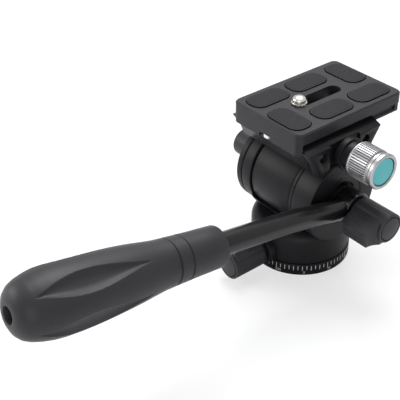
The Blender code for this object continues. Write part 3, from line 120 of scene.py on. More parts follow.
def make_grain_group():
    group, start, end = new_group("surface_grain", [
        ("Scale", "NodeSocketFloat", 2500.0),
        ("Depth", "NodeSocketFloat", 0.2),
    ], [("Normal", "NodeSocketVector")])
    place = group.nodes.new("ShaderNodeTexCoord")
    noise = group.nodes.new("ShaderNodeTexNoise")
    noise.inputs["Detail"].default_value = 3.0
    bump = group.nodes.new("ShaderNodeBump")
    bump.inputs["Distance"].default_value = 0.0001
    join(group, [
        (place, "Object", noise, "Vector"), (start, "Scale", noise, "Scale"),
        (noise, "Fac", bump, "Height"), (start, "Depth", bump, "Strength"),
        (bump, "Normal", end, "Normal"),
    ])
    return group


def make_tone_group():
    group, start, end = new_group("soft_tone", [
        ("Color", "NodeSocketColor", (0.02, 0.02, 0.02, 1.0)),
        ("Second Color", "NodeSocketColor", (0.03, 0.03, 0.03, 1.0)),
        ("Roughness", "NodeSocketFloat", 0.45),
        ("Roughness Change", "NodeSocketFloat", 0.08),
        ("Scale", "NodeSocketFloat", 60.0),
    ], [("Color", "NodeSocketColor"), ("Roughness", "NodeSocketFloat")])
    place = group.nodes.new("ShaderNodeTexCoord")
    clouds = group.nodes.new("ShaderNodeTexNoise")
    clouds.inputs["Detail"].default_value = 4.0
    mix = group.nodes.new("ShaderNodeMix")
    mix.data_type = "RGBA"
    spread = group.nodes.new("ShaderNodeMath")
    spread.operation = "MULTIPLY_ADD"
    join(group, [
        (place, "Object", clouds, "Vector"), (start, "Scale", clouds, "Scale"),
        (clouds, "Fac", mix, "Factor"), (start, "Color", mix, "A"),
        (start, "Second Color", mix, "B"), (clouds, "Fac", spread, 0),
        (start, "Roughness Change", spread, 1), (start, "Roughness", spread, 2),
        (mix, "Result", end, "Color"), (spread, "Value", end, "Roughness"),
    ])
    return group


grain_group = make_grain_group()
tone_group = make_tone_group()
print("groups:", grain_group.name, tone_group.name)

# %% [markdown]
# ## Materials
#
# One function builds a finish from its colour pair, its roughness and its grain. The
# Principled shader itself stays in each material, and the groups only feed its colour,
# roughness and normal. Black paint on castings is satin and grainy, the plate is anodised and
# greyer, the handle tube is glossy, and the rubber is matt.

# %% Finish builder
def finish(name, color, second, roughness, change, grain, depth, metallic=0.0, shine=0.5):
    """A finish with two close colours, a changing roughness and a grain of a scale and depth."""
    material = bpy.data.materials.new(name)
    material.use_nodes = True
    nodes = material.node_tree.nodes
    shader = nodes["Principled BSDF"]
    shader.inputs["Metallic"].default_value = metallic
    shader.inputs["Specular IOR Level"].default_value = shine
    tones = nodes.new("ShaderNodeGroup")
    tones.node_tree = tone_group
    tones.inputs["Color"].default_value = (*color, 1.0)
    tones.inputs["Second Color"].default_value = (*second, 1.0)
    tones.inputs["Roughness"].default_value = roughness
    tones.inputs["Roughness Change"].default_value = change
    grains = nodes.new("ShaderNodeGroup")
    grains.node_tree = grain_group
    grains.inputs["Scale"].default_value = grain
    grains.inputs["Depth"].default_value = depth
    join(material.node_tree, [
        (tones, "Color", shader, "Base Color"), (tones, "Roughness", shader, "Roughness"),
        (grains, "Normal", shader, "Normal"),
    ])
    material.diffuse_color = (*color, 1.0)
    return material


black_paint = finish("black_paint", (0.008, 0.008, 0.009), (0.013, 0.013, 0.015),
                     0.36, 0.10, 2600.0, 0.25, shine=0.14)
plate_grey = finish("plate_anodised", (0.020, 0.020, 0.023), (0.027, 0.027, 0.031),
                    0.40, 0.08, 4200.0, 0.15, shine=0.20)
gloss_black = finish("gloss_black", (0.006, 0.006, 0.007), (0.010, 0.010, 0.011),
                     0.20, 0.06, 900.0, 0.04, shine=0.35)
lever_plastic = finish("lever_plastic", (0.018, 0.018, 0.021), (0.026, 0.026, 0.030),
                       0.42, 0.08, 3200.0, 0.20, shine=0.25)
pad_rubber = finish("pad_rubber", (0.018, 0.018, 0.021), (0.025, 0.025, 0.029),
                    0.62, 0.08, 3000.0, 0.30, shine=0.15)
grip_rubber = finish("grip_rubber", (0.020, 0.020, 0.023), (0.027, 0.027, 0.031),
                     0.44, 0.08, 1800.0, 0.18, shine=0.28)
# Near-black painted shade for narrow gaps: the ring round the teal disc and the pads' sides in
# their pockets.
painted_gap_shade = finish("painted_gap_shade", (0.004, 0.004, 0.004), (0.006, 0.006, 0.006),
                     0.60, 0.05, 2000.0, 0.10, shine=0.05)
silver = finish("silver_aluminium", (0.41, 0.41, 0.42), (0.36, 0.36, 0.37),
                0.30, 0.12, 5200.0, 0.12, metallic=1.0)
# A darker silver painted into the flanks and valleys of the clamp knob's ribs as shade.
painted_valley_shade = finish("painted_valley_shade", (0.15, 0.15, 0.155), (0.19, 0.19, 0.195),
                       0.45, 0.12, 5200.0, 0.12, metallic=1.0)
steel = finish("bright_steel", (0.70, 0.68, 0.64), (0.60, 0.58, 0.55),
               0.20, 0.10, 3200.0, 0.08, metallic=1.0)
bronze = finish("bearing_bronze", (0.48, 0.32, 0.16), (0.40, 0.26, 0.12),
                0.34, 0.10, 2600.0, 0.15, metallic=1.0)
brass = finish("turned_brass", (0.70, 0.52, 0.24), (0.62, 0.45, 0.20),
               0.28, 0.10, 2600.0, 0.10, metallic=1.0)
nylon = finish("natural_nylon", (0.72, 0.71, 0.66), (0.66, 0.65, 0.60),
               0.50, 0.08, 1500.0, 0.10)
teal = finish("teal_disc", (0.045, 0.420, 0.450), (0.055, 0.470, 0.500),
              0.30, 0.08, 5000.0, 0.08)
scale_white = finish("scale_white", (0.72, 0.72, 0.70), (0.60, 0.60, 0.58),
                     0.50, 0.05, 3000.0, 0.05)
print("materials:", len(bpy.data.materials))

# %% [markdown]
# ## Dressing the inner pieces
#
# The bearings, studs, springs and screws inside already have the right shape. They only need
# a better finish, so the material goes straight into their slots. The pieces that show are
# replaced later by finer ones.

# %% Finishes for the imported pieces
node_finish = {
    "black_paint": black_paint, "dark_anodised": plate_grey, "gloss_black": gloss_black,
    "black_plastic": lever_plastic, "damper_plastic": lever_plastic, "rubber": pad_rubber,
    "grip_rubber": grip_rubber, "silver_aluminium": silver, "teal_disc": teal, "steel": steel,
    "bronze": bronze, "brass": brass, "nylon": nylon,
}
slot_of_node = {entry["node"]: entry["material_slot"] for entry in frame["record"]["subparts"]}
for node_name, node_object in frame["nodes"].items():
    node_object.data.materials.clear()
    node_object.data.materials.append(node_finish[slot_of_node[node_name]])
frame["nodes"]["handle_rosette"].data.materials[0] = black_paint
print("finished packed pieces:", len(slot_of_node))

# %% [markdown]
# ## Making a turned piece
#
# A lathe part is a profile spun about an axis. The profile's corners are softened first: real
# edges are never knife sharp, and the small round is what catches the light. `spin` with
# `use_merge` closes the full turn, and doubles on the axis are merged before the normals are
# worked out.

# %% Helpers for profiles and turned pieces
soften_reach = 0.49


def in_mm(points):
    """Turns a table of points in millimetres into metres."""
    return [(first * mm, second * mm) for first, second in points]


def soften(points, radius, steps=3, closed=False):
    """Rounds each inner corner of a run of points with a short curve."""
    count = len(points)
    result = []
    for index, point in enumerate(points):
        if not closed and index in (0, count - 1):
            result.append(point)
            continue
        here = Vector(point)
        before = Vector(points[index - 1])
        after = Vector(points[(index + 1) % count])
        reach = min(radius, (before - here).length * soften_reach,
                    (after - here).length * soften_reach)
        start = here + (before - here).normalized() * reach
        end = here + (after - here).normalized() * reach
        for step in range(steps + 1):
            t = step / steps
            spot = start * (1 - t) ** 2 + here * 2 * t * (1 - t) + end * t ** 2
            result.append((spot.x, spot.y))
    return result


def put(name, data):
    """Makes an object and links it to the scene."""
    item = bpy.data.objects.new(name, data)
    bpy.context.scene.collection.objects.link(item)
    return item


def add_piece(name, work, material, body, replaced=(), sharp=40.0):
    """Turns a bmesh into a smooth piece that rides on a body and stands for some nodes."""
    mesh = bpy.data.meshes.new(name)
    work.to_mesh(mesh)
    work.free()
    mesh.shade_smooth()
    mesh.set_sharp_from_angle(angle=math.radians(sharp))
    mesh.materials.append(material)
    piece = put(name, mesh)
    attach(piece, body)
    if replaced:
        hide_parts(*replaced)
    print("made", name, "faces:", len(mesh.polygons))
    return piece


def spin_profile(profile, place, steps=mid_turn, closed=False):
    """Spins (radius, height) points about their own Z axis and lays the result in place."""
    work = bmesh.new()
    points = [work.verts.new((radius, 0.0, height)) for radius, height in profile]
    for first, second in zip(points, points[1:]):
        work.edges.new((first, second))
    if closed:
        work.edges.new((points[-1], points[0]))
    bmesh.ops.spin(work, geom=work.verts[:] + work.edges[:], cent=(0, 0, 0), axis=(0, 0, 1),
                   angle=2 * math.pi, steps=steps, use_merge=True)
    bmesh.ops.remove_doubles(work, verts=work.verts, dist=weld)
    bmesh.ops.recalc_face_normals(work, faces=work.faces)
    bmesh.ops.transform(work, matrix=place, verts=work.verts)
    return work


def ring(inner, outer, low, high):
    return [(inner, low), (outer, low), (outer, high), (inner, high)]


def skin(work, loops):
    """Joins each loop of points to the next with faces, and closes both ends."""
    for lower, upper in zip(loops, loops[1:]):
        for index, point in enumerate(lower):
            after = (index + 1) % len(lower)
            work.faces.new((point, lower[after], upper[after], upper[index]))
    work.faces.new(loops[0])
    work.faces.new(loops[-1])
    bmesh.ops.recalc_face_normals(work, faces=work.faces)


print("turning helpers ready")

# %% [markdown]
# ## Making a flat outline into a slab
#
# Plates and wings are outlines with a thickness. The outline becomes one face, the face is
# extruded, and every sharp edge gets a small bevel. A second helper keeps a boolean's result
# as a plain mesh, because a bevel only looks right after all the holes are cut.

# %% Helpers for slabs and cuts
flat_angle = math.radians(0.5)


def slab(outline, low, high, place=upright):
    work = bmesh.new()
    face = work.faces.new([work.verts.new((x, y, low)) for x, y in outline])
    lifted = bmesh.ops.extrude_face_region(work, geom=[face])
    moved = [item for item in lifted["geom"] if isinstance(item, bmesh.types.BMVert)]
    bmesh.ops.translate(work, verts=moved, vec=(0, 0, high - low))
    bmesh.ops.transform(work, matrix=place, verts=work.verts)
    bmesh.ops.recalc_face_normals(work, faces=work.faces)
    return work


def bevel_sharp(work, width, steps, angle):
    """Bevels the edges that turn more than an angle."""
    limit = math.radians(angle)
    edges = [edge for edge in work.edges
             if len(edge.link_faces) == 2 and edge.calc_face_angle(0.0) > limit]
    bmesh.ops.bevel(work, geom=edges, offset=width, segments=steps, profile=0.5,
                    affect="EDGES", material=-1, clamp_overlap=True)
    return work


def bevel_level(work, height, width, steps=1):
    """Bevels the edges that lie at one height."""
    rim = [edge for edge in work.edges
           if all(abs(vertex.co.z - height) < hair for vertex in edge.verts)]
    bmesh.ops.bevel(work, geom=rim, offset=width, segments=steps, profile=0.5,
                    affect="EDGES", material=-1)


def as_object(name, work):
    mesh = bpy.data.meshes.new(name)
    work.to_mesh(mesh)
    work.free()
    return put(name, mesh)


def carve(work, tools):
    """Applies boolean tools to a bmesh: each tool is a bmesh and an operation."""
    target = as_object("carved", work)
    helpers = []
    for tool, operation in tools:
        helper = as_object("carving_tool", tool)
        helpers.append(helper)
        step = target.modifiers.new("carve", "BOOLEAN")
        step.operation = operation
        step.solver = "EXACT"
        step.object = helper
    bpy.context.view_layer.update()
    graph = bpy.context.evaluated_depsgraph_get()
    mesh = bpy.data.meshes.new_from_object(target.evaluated_get(graph))
    result = bmesh.new()
    result.from_mesh(mesh)
    bpy.data.meshes.remove(mesh)
    for item in [target] + helpers:
        old = item.data
        bpy.data.objects.remove(item, do_unlink=True)
        bpy.data.meshes.remove(old)
    bmesh.ops.remove_doubles(result, verts=result.verts, dist=weld)
    bmesh.ops.dissolve_limit(result, angle_limit=flat_angle, verts=result.verts,
                             edges=result.edges)
    return result


def rounded_outline(half_x, half_y, radius, steps=8):
    corners = [(half_x, half_y), (-half_x, half_y), (-half_x, -half_y), (half_x, -half_y)]
    points = []
    for index, (x, y) in enumerate(corners):
        center = (x - math.copysign(radius, x), y - math.copysign(radius, y))
        for step in range(steps + 1):
            angle = (index + step / steps) * quarter
            points.append((center[0] + radius * math.cos(angle),
                           center[1] + radius * math.sin(angle)))
    return points


print("slab and carving helpers ready")

# %% [markdown]
# ## The base and its degree scale
#
# The lowest ring stays with the tripod while the head pans above it. On the real ring the
# degree marks are filled with white paint. Here each mark is a thin bar set into the ring's
# side, one cube copied round the ring by a rotation for every five degrees.

# %% Scale ring
ring_radius = 27.9 * mm
ring_inside = 23.7 * mm
ring_top = 7.0 * mm
ring_floor = 3.0 * mm
ring_edge = 0.35 * mm
ring_slant = 0.55 * mm
ring_profile = soften([
    (ring_inside, 0.0), (ring_radius, 0.0), (ring_radius, ring_top - ring_edge),
    (ring_radius - ring_slant, ring_top), (ring_inside, ring_top), (ring_inside, ring_floor),
], ring_edge, closed=True)
add_piece("scale_ring_turned", spin_profile(ring_profile, upright, fine_turn, closed=True),
          black_paint, "base", ["pan_scale_ring"])

# %% Degree marks round the ring
mark_step = 5
mark_top = 5.9 * mm
mark_low = {True: 3.0 * mm, False: 3.5 * mm}
mark_depth = 0.12 * mm
mark_width = 0.34 * mm
mark_sink = 0.03 * mm
marks = bmesh.new()
for degrees in range(0, 360, mark_step):
    low = mark_low[degrees % (2 * mark_step) == 0]
    size = Matrix.Diagonal((mark_depth, mark_width, mark_top - low, 1.0))
    spot = Matrix.Translation((ring_radius - mark_sink, 0.0, (low + mark_top) / 2))
    turn = Matrix.Rotation(math.radians(degrees), 4, "Z")
    bmesh.ops.create_cube(marks, size=1.0, matrix=turn @ spot @ size)
degree_marks = add_piece("degree_marks", marks, scale_white, "base")

# %% [markdown]
# The plain numbers under the marks count every thirty degrees. A text object gives their
# outlines, which become a flat mesh. At this size a flat number lies close enough to the
# ring's round side.

# %% Degree numbers
number_step = 30
number_height = 2.3 * mm
number_half_thick = 0.04 * mm
number_level = 1.75 * mm
number_sink = 0.02 * mm
first_number = math.radians(-38.0)


def number_mesh(text, height):
    curve = bpy.data.curves.new("number", "FONT")
    curve.body = text
    curve.size = height
    curve.align_x = "CENTER"
    curve.align_y = "CENTER"
    curve.extrude = number_half_thick
    curve.resolution_u = 2
    holder = put("number", curve)
    bpy.context.view_layer.update()
    graph = bpy.context.evaluated_depsgraph_get()
    mesh = bpy.data.meshes.new_from_object(holder.evaluated_get(graph))
    bpy.data.objects.remove(holder, do_unlink=True)
    bpy.data.curves.remove(curve)
    return mesh


numbers = bmesh.new()
for degrees in range(0, 360, number_step):
    mesh = number_mesh(str(degrees), number_height)
    stand = laid("right", x=ring_radius - number_sink, z=number_level)
    mesh.transform(Matrix.Rotation(first_number + math.radians(degrees), 4, "Z") @ stand)
    numbers.from_mesh(mesh)
    bpy.data.meshes.remove(mesh)
degree_numbers = add_piece("degree_numbers", numbers, scale_white, "base")

# %% [markdown]
# ## The pan housing
#
# The housing is one casting: a low drum with a rounded shoulder, two round arms on the tilt
# axis and a saddle that joins them under the barrel. Each of these shapes is turned about its
# own axis, and they are left to run into each other, which looks the same as a cast blend and
# keeps each surface clean.

# %% Housing drum
def housing_piece(name, work):
    """A part of the housing's casting."""
    add_piece(name, work, black_paint, "pan_body", ["pan_housing"])


housing_radius = 27.5 * mm
drum_inside = 24.3 * mm
drum_low = 7.4 * mm
drum_ceiling = 15.8 * mm
drum_edge = 0.3 * mm
shoulder_low = 20.5 * mm
shoulder_width = 6.0 * mm
shoulder_rise = 5.7 * mm
shoulder_steps = 12
drum_profile = [(drum_inside, drum_ceiling), (drum_inside, drum_low),
                (housing_radius - drum_edge, drum_low), (housing_radius, drum_low + drum_edge),
                (housing_radius, shoulder_low)]
for step in range(1, shoulder_steps + 1):
    turn = step / shoulder_steps * quarter
    drum_profile.append((housing_radius - shoulder_width + shoulder_width * math.cos(turn),
                         shoulder_low + shoulder_rise * math.sin(turn)))
drum_profile.append((0.0, shoulder_low + shoulder_rise))
housing_piece("housing_drum", spin_profile(drum_profile, upright, fine_turn))

# %% Yoke arms
arm_radius = 23.9 * mm
arm_inner = 16.4 * mm
right_arm_outer = 29.5 * mm
left_arm_outer = 23.2 * mm
left_arm_bore = 12.8 * mm
right_edge = 0.5 * mm
left_edge = 0.6 * mm
edge_steps = 4
right_arm_profile = soften([
    (9.4 * mm, arm_inner), (arm_radius, arm_inner), (arm_radius, right_arm_outer),
    (14.0 * mm, right_arm_outer),
] + in_mm([
    (13.4, 29.0), (10.4, 29.0), (10.0, 28.6), (10.0, 27.7), (5.6, 27.7), (5.6, 18.0),
]), right_edge, edge_steps)
housing_piece("right_arm_turned", spin_profile(right_arm_profile, tilt_right, fine_turn))
left_arm_profile = soften([
    (left_arm_bore, arm_inner), (arm_radius, arm_inner), (arm_radius, left_arm_outer),
    (left_arm_bore, left_arm_outer),
], left_edge, edge_steps)
housing_piece("left_arm_turned", spin_profile(left_arm_profile, tilt_left, fine_turn))

# %% [markdown]
# The saddle is a short thick tube about the tilt axis, cut away above by a box with round
# lower corners, so that only a low trough is left between the arms.

# %% Saddle between the arms
saddle_inside = 23.5 * mm
saddle_outside = 24.9 * mm
saddle_half = 16.6 * mm
throat_half = 18.4 * mm
throat_step = 36.0 * mm
throat_top = 74.0 * mm
throat_reach = 27.0 * mm
corner_radius = 3.0 * mm
corner_x = 12.6 * mm
corner_z = 35.5 * mm
corner_steps = 8
saddle_tube = spin_profile(ring(saddle_inside, saddle_outside, -saddle_half, saddle_half),
                           tilt_right, fine_turn, closed=True)
wall_x = corner_x + corner_radius
throat = [(wall_x, throat_step), (throat_half, throat_step), (throat_half, throat_top),
          (-throat_half, throat_top), (-throat_half, throat_step), (-wall_x, throat_step)]
for side, start in ((-1, 2 * quarter), (1, 3 * quarter)):
    for step in range(corner_steps + 1):
        angle = start + step / corner_steps * quarter
        throat.append((side * corner_x + corner_radius * math.cos(angle),
                       corner_z + corner_radius * math.sin(angle)))
throat_tool = slab(throat, -throat_reach, throat_reach, laid("rear"))
housing_piece("saddle", carve(saddle_tube, [(throat_tool, "DIFFERENCE")]))

# %% [markdown]
# The pan lock's boss is a short round stub at the rear. Its lower side is cut flat, level
# with the bottom of the drum, so that it clears the scale ring.

# %% Pan lock boss
boss_flat_z = 7.5 * mm
boss_edge = 0.5 * mm
boss_profile = soften(in_mm([
    (3.2, 26.0), (9.5, 26.0), (9.5, 30.7), (6.5, 30.7), (6.3, 30.3), (3.2, 30.3),
]), boss_edge)
boss_work = spin_profile(boss_profile, pan_rear, small_turn)
boss_geometry = boss_work.verts[:] + boss_work.edges[:] + boss_work.faces[:]
bmesh.ops.bisect_plane(boss_work, geom=boss_geometry, plane_co=(0, 0, boss_flat_z),
                       plane_no=(0, 0, -1), clear_outer=True)
housing_piece("pan_lock_boss", boss_work)

# %% Left end cap
cap_profile = soften([(4.2 * mm, 23.6 * mm), (arm_radius, 23.6 * mm), (arm_radius, 27.4 * mm)]
                     + in_mm([(9.2, 27.4), (8.9, 27.1), (4.2, 27.1)]),
                     left_edge, edge_steps, closed=True)
add_piece("left_cap_turned", spin_profile(cap_profile, tilt_left, fine_turn, closed=True),
          black_paint, "pan_body", ["left_end_cap"])

# %% [markdown]
# ## The tilt barrel
#
# The barrel turns between the arms and carries the clamp. It is one turned shell with a
# narrow groove near its right end, where the light draws a thin line.

# %% Tilt barrel
barrel_edge = 0.2 * mm
barrel_edge_steps = 2
barrel_profile = soften(in_mm([
    (5.6, -15.8), (22.6, -15.8), (23.1, -15.2), (23.1, 12.9), (22.7, 13.1), (22.7, 13.4),
    (23.1, 13.6), (23.1, 15.3), (22.6, 15.8), (9.2, 15.8),
]), barrel_edge, barrel_edge_steps)
add_piece("barrel_turned", spin_profile(barrel_profile, tilt_right, fine_turn),
          black_paint, "tilt_body", ["tilt_barrel"])

# %% [markdown]
# ## The clamp
#
# The clamp's two halves are milled blocks with many slanted faces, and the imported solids
# already have them. A copy of each is welded and cleaned of the flat edges that booleans
# leave, and then its sharp edges get a small bevel, as a milled and painted edge has.

# %% Clamp base and jaw
packed_weld = 0.004 * mm
packed_flat_angle = math.radians(1.0)
milled_edge = 0.35 * mm
milled_steps = 2
milled_angle = 22.0


def packed_copy(node):
    source = frame["nodes"][node]
    work = bmesh.new()
    work.from_mesh(source.data)
    bmesh.ops.transform(work, matrix=source.matrix_world, verts=work.verts)
    bmesh.ops.remove_doubles(work, verts=work.verts, dist=packed_weld)
    bmesh.ops.dissolve_limit(work, angle_limit=packed_flat_angle, verts=work.verts,
                             edges=work.edges)
    return work


for node, body in (("clamp_base", "tilt_body"), ("clamp_jaw", "jaw")):
    work = bevel_sharp(packed_copy(node), milled_edge, milled_steps, milled_angle)
    add_piece(node + "_milled", work, black_paint, body, [node], 30.0)

# %% Collar behind the clamp knob
collar_edge = 0.4 * mm
collar_profile = soften(in_mm([
    (3.3, 27.9), (5.0, 27.9), (5.0, 29.9), (8.8, 29.9), (8.8, 33.5), (7.4, 33.5), (7.4, 37.5),
    (3.3, 37.5),
]), collar_edge, closed=True)
add_piece("collar_turned", spin_profile(collar_profile, clamp_right, closed=True),
          black_paint, "jaw", ["clamp_collar"])

# %% [markdown]
# ## The clamp knob
#
# The knob is silver with straight ribs. Its band is drawn as rings of points, where every
# rib has four points: two on its crest and two in its valley. The flanks and valleys get a
# darker silver, which is painted shade between the ribs. The plain parts at both ends are
# turned, and a near-black ring of painted shade is laid round the teal disc in its front,
# where the gap beside the disc falls in shade.

# %% Clamp knob
knob_radius = 9.5 * mm
rib_count = 46
rib_low = 39.7 * mm
rib_high = 50.3 * mm
rib_round = 0.30 * mm
rib_depth = 0.42 * mm
rib_levels = [(rib_low, rib_round), (rib_low + rib_round, 0.0), (rib_high - rib_round, 0.0),
              (rib_high, rib_round)]
rib_points = [(0.0, 0.0), (0.46, 0.0), (0.60, rib_depth), (0.86, rib_depth)]
band = bmesh.new()
loops = []
for height, shrink in rib_levels:
    loop = []
    for rib in range(rib_count):
        for share, depth in rib_points:
            angle = 2 * math.pi * (rib + share) / rib_count
            reach = knob_radius - shrink - depth
            loop.append(band.verts.new((reach * math.cos(angle), reach * math.sin(angle), height)))
    loops.append(loop)
skin(band, loops)
# The flanks and valleys take the second slot, a darker silver that is painted shade between the
# ribs.
for index, face in enumerate(band.faces):
    face.material_index = int(len(face.verts) == 4 and index % len(rib_points) > 0)
bmesh.ops.transform(band, matrix=clamp_right, verts=band.verts)
knob_band = add_piece("clamp_knob_band", band, silver, "clamp_knob_body", ["clamp_knob"],
                      20.0)
knob_band.data.materials.append(painted_valley_shade)

# %% Clamp knob's turned ends
knob_edge = 0.25 * mm
inlay_edge = 0.15 * mm
knob_body_profile = soften(in_mm([
    (0.0, 38.0), (8.7, 38.0), (9.4, 38.7), (9.45, 39.3), (8.9, 39.9), (8.9, 50.1), (8.5, 50.6),
    (8.5, 51.9), (9.4, 52.7), (9.5, 53.2), (9.5, 54.7), (9.0, 55.2), (8.0, 55.2), (7.6, 54.9),
    (7.6, 52.9), (0.0, 52.9),
]), knob_edge)
add_piece("clamp_knob_turned", spin_profile(knob_body_profile, clamp_right, 128),
          silver, "clamp_knob_body", ["clamp_knob"])
inlay_profile = soften(in_mm([
    (0.0, 53.3), (7.3, 53.3), (7.3, 54.4), (7.05, 54.6), (0.0, 54.6),
]), inlay_edge)
add_piece("teal_inlay", spin_profile(inlay_profile, clamp_right),
          teal, "clamp_knob_body", ["clamp_knob_disc"])
# A near-black ring of painted shade in the gap round the teal disc.
line_profile = ring(7.25 * mm, 7.58 * mm, 53.4 * mm, 54.25 * mm)
inlay_shade_line = add_piece("inlay_shade_line", spin_profile(line_profile, clamp_right, closed=True),
                       painted_gap_shade, "clamp_knob_body")

# %% [markdown]
# ## The quick release plate
#
# The plate starts as a rounded rectangle with a thin chamfer round its top. Then the
# dovetail grooves, the channel below, the slot and six shallow pad pockets are cut out.
# Pads stand in a pinwheel: four along the plate, and one across at each end.

# %% Plate block
plate_y = 8.3 * mm
plate_low = 81.0 * mm
plate_top = 93.0 * mm
plate_half_x = 25.0 * mm
plate_half_y = 37.0 * mm
plate_corner = 3.8 * mm
plate_chamfer = 0.75 * mm
under_chamfer = 0.25 * mm
plate_place = laid("up", y=plate_y)
plate_work = slab(rounded_outline(plate_half_x, plate_half_y, plate_corner, 12), plate_low,
                  plate_top, plate_place)
bevel_level(plate_work, plate_top, plate_chamfer)
bevel_level(plate_work, plate_low, under_chamfer)

# %% Pads in a pinwheel
pad_half_long = 12.0 * mm
pad_half_wide = 6.65 * mm
pad_corner = 5.6 * mm
pad_gap = 0.40 * mm
pocket_depth = 1.2 * mm
pad_spots = [
    ("rear_left", -14.7 * mm, -21.9 * mm, False), ("middle_left", -14.7 * mm, 5.1 * mm, False),
    ("front_left", -8.9 * mm, 28.7 * mm, True), ("front_right", 14.7 * mm, 21.9 * mm, False),
    ("middle_right", 14.7 * mm, -5.1 * mm, False), ("rear_right", 8.9 * mm, -28.7 * mm, True),
]


def pad_outline(across, grow=0.0):
    """A pad's outline, along the plate or across it, grown by a margin."""
    long_side = pad_half_long + grow
    wide_side = pad_half_wide + grow
    half_x, half_y = (long_side, wide_side) if across else (wide_side, long_side)
    return rounded_outline(half_x, half_y, pad_corner + grow, 10)


print("pads:", len(pad_spots))

# %% Cuts in the plate
cut_low = 80.0 * mm
cut_high = 95.0 * mm
cut_past = 2.0 * mm
cut_long = 60.0 * mm
foot_half = 23.0 * mm
cut_half = 27.0 * mm
groove_top = 87.0 * mm
end_wall = 2.8 * mm
step_overlap = 1.0 * mm
step_reach = 50.0 * mm
groove_outline = [(foot_half, cut_low)] + in_mm([(23.0, 81.9), (21.8, 83.1)]) + [
    (21.8 * mm, groove_top), (cut_half, groove_top), (cut_half, cut_low)]
groove_half = plate_half_y - end_wall
rear_turn = Matrix.Rotation(quarter, 4, "X")
plate_tools = []
for side in (1, -1):
    outline = [(side * x, z) for x, z in groove_outline]
    plate_tools.append(slab(outline, -plate_y - groove_half, -plate_y + groove_half, rear_turn))
    low_x, high_x = sorted((side * foot_half, side * cut_half))
    step_low = plate_y + groove_half - step_overlap
    step_outline = [(low_x, step_low), (high_x, step_low), (high_x, step_reach),
                    (low_x, step_reach)]
    plate_tools.append(slab(step_outline, cut_low, groove_top, upright))
channel = in_mm([(-4.0, 80.0), (4.0, 80.0), (4.0, 83.6), (-4.0, 83.6)])
plate_tools.append(slab(channel, -cut_long, cut_long, rear_turn))
recess_outline = rounded_outline(9.2 * mm, 26.0 * mm, 1.0 * mm, 4)
recess_top = 86.0 * mm
plate_tools.append(slab(recess_outline, cut_low, recess_top, plate_place))
slot_outline = rounded_outline(4.0 * mm, 16.3 * mm, 3.99 * mm, 14)
slot_setback = 1.4 * mm
plate_tools.append(slab(slot_outline, cut_low, cut_high, laid("up", y=plate_y - slot_setback)))
for name, x, y, across in pad_spots:
    plate_tools.append(slab(pad_outline(across, pad_gap), plate_top - pocket_depth,
                            plate_top + cut_past, laid("up", x=x, y=plate_y + y)))
add_piece("plate_block", carve(plate_work, [(tool, "DIFFERENCE") for tool in plate_tools]),
          plate_grey, "plate", ["qr_plate"], 32.0)

# %% [markdown]
# The rubber of each pad has fine straight ribs, all running the same slanting way over the
# whole plate. Each rib is a thin bar along the part of its line that lies inside the pad's
# outline, so the ribs end neatly at the rounded ends.

# %% Ribbed pads
pad_top = plate_top + 0.8 * mm
pad_base = plate_top + 0.55 * mm
pad_foot = plate_top - 0.9 * mm
pad_edge = 0.25 * mm
pad_margin = 0.75 * mm
pad_rib_pitch = 1.25 * mm
pad_rib_width = 0.62 * mm
pad_rib_sink = 0.2 * mm
pad_rib_shortest = 0.6 * mm
pad_rib_end_slope = 0.25 * mm
pad_rib_side_slope = 0.14 * mm
pad_rib_reach = 12
rib_way = Vector((0.794, -0.607, 0.0))
rib_across = Vector((0.607, 0.794, 0.0))
rib_turn = Matrix.Rotation(math.atan2(rib_way.y, rib_way.x), 4, "Z")
parallel = 1e-12


def chord(outline, origin, way):
    """Where a line crosses a convex outline: its lowest and highest distance along the line."""
    low, high = -1.0, 1.0
    count = len(outline)
    for index in range(count):
        first = Vector((*outline[index], 0.0))
        second = Vector((*outline[(index + 1) % count], 0.0))
        side = second - first
        inward = Vector((-side.y, side.x, 0.0))
        start = (origin - first).dot(inward)
        slope = way.dot(inward)
        if abs(slope) < parallel:
            if start < 0:
                return None
            continue
        meet = -start / slope
        if slope > 0:
            low = max(low, meet)
        else:
            high = min(high, meet)
    return (low, high) if high - low > pad_rib_shortest else None


def add_rib(work, spot, length):
    """One bar of a pad with sloping sides, sunk a little into the pad."""
    size = Matrix.Diagonal((length, pad_rib_width, pad_top - pad_base + pad_rib_sink, 1.0))
    place = Matrix.Translation(spot) @ rib_turn @ size
    for vertex in bmesh.ops.create_cube(work, size=1.0, matrix=place)["verts"]:
        if vertex.co.z > pad_top - hair:
            away = vertex.co - spot
            along = math.copysign(pad_rib_end_slope, away.dot(rib_way))
            sideways = math.copysign(pad_rib_side_slope, away.dot(rib_across))
            vertex.co -= rib_way * along + rib_across * sideways


for name, x, y, across in pad_spots:
    work = slab(pad_outline(across), pad_foot, pad_base, laid("up", x=x, y=plate_y + y))
    bevel_level(work, pad_base, pad_edge, 2)
    inner = pad_outline(across, -pad_margin)
    phase = Vector((x, y, 0.0)).dot(rib_across) % pad_rib_pitch
    for step in range(-pad_rib_reach, pad_rib_reach + 1):
        center = rib_across * (step * pad_rib_pitch - phase)
        span = chord(inner, center, rib_way)
        if span is None:
            continue
        spot = center + rib_way * (span[0] + span[1]) / 2
        spot += Vector((x, plate_y + y, (pad_top + pad_base - pad_rib_sink) / 2))
        add_rib(work, spot, span[1] - span[0])
    pad = add_piece("pad_ribbed_" + name, work, pad_rubber, "plate", ["pad_" + name],
                    25.0)
    # The pads' sides below the ribs are painted near-black, as shade in the gap between pad and
    # pocket.
    pad.data.materials.append(painted_gap_shade)
    for polygon in pad.data.polygons:
        is_side = abs(polygon.normal.z) < 0.5
        below_ribs = polygon.center.z < pad_base - pad_rib_sink / 2
        polygon.material_index = int(is_side and below_ribs)

# %% [markdown]
# ## Camera screw
#
# The camera screw's end stands up through the slot: a dome with a ring below it. The thread
# under the ring is drawn as a stack of shallow rings, which looks the same as a fine helix at
# this size.

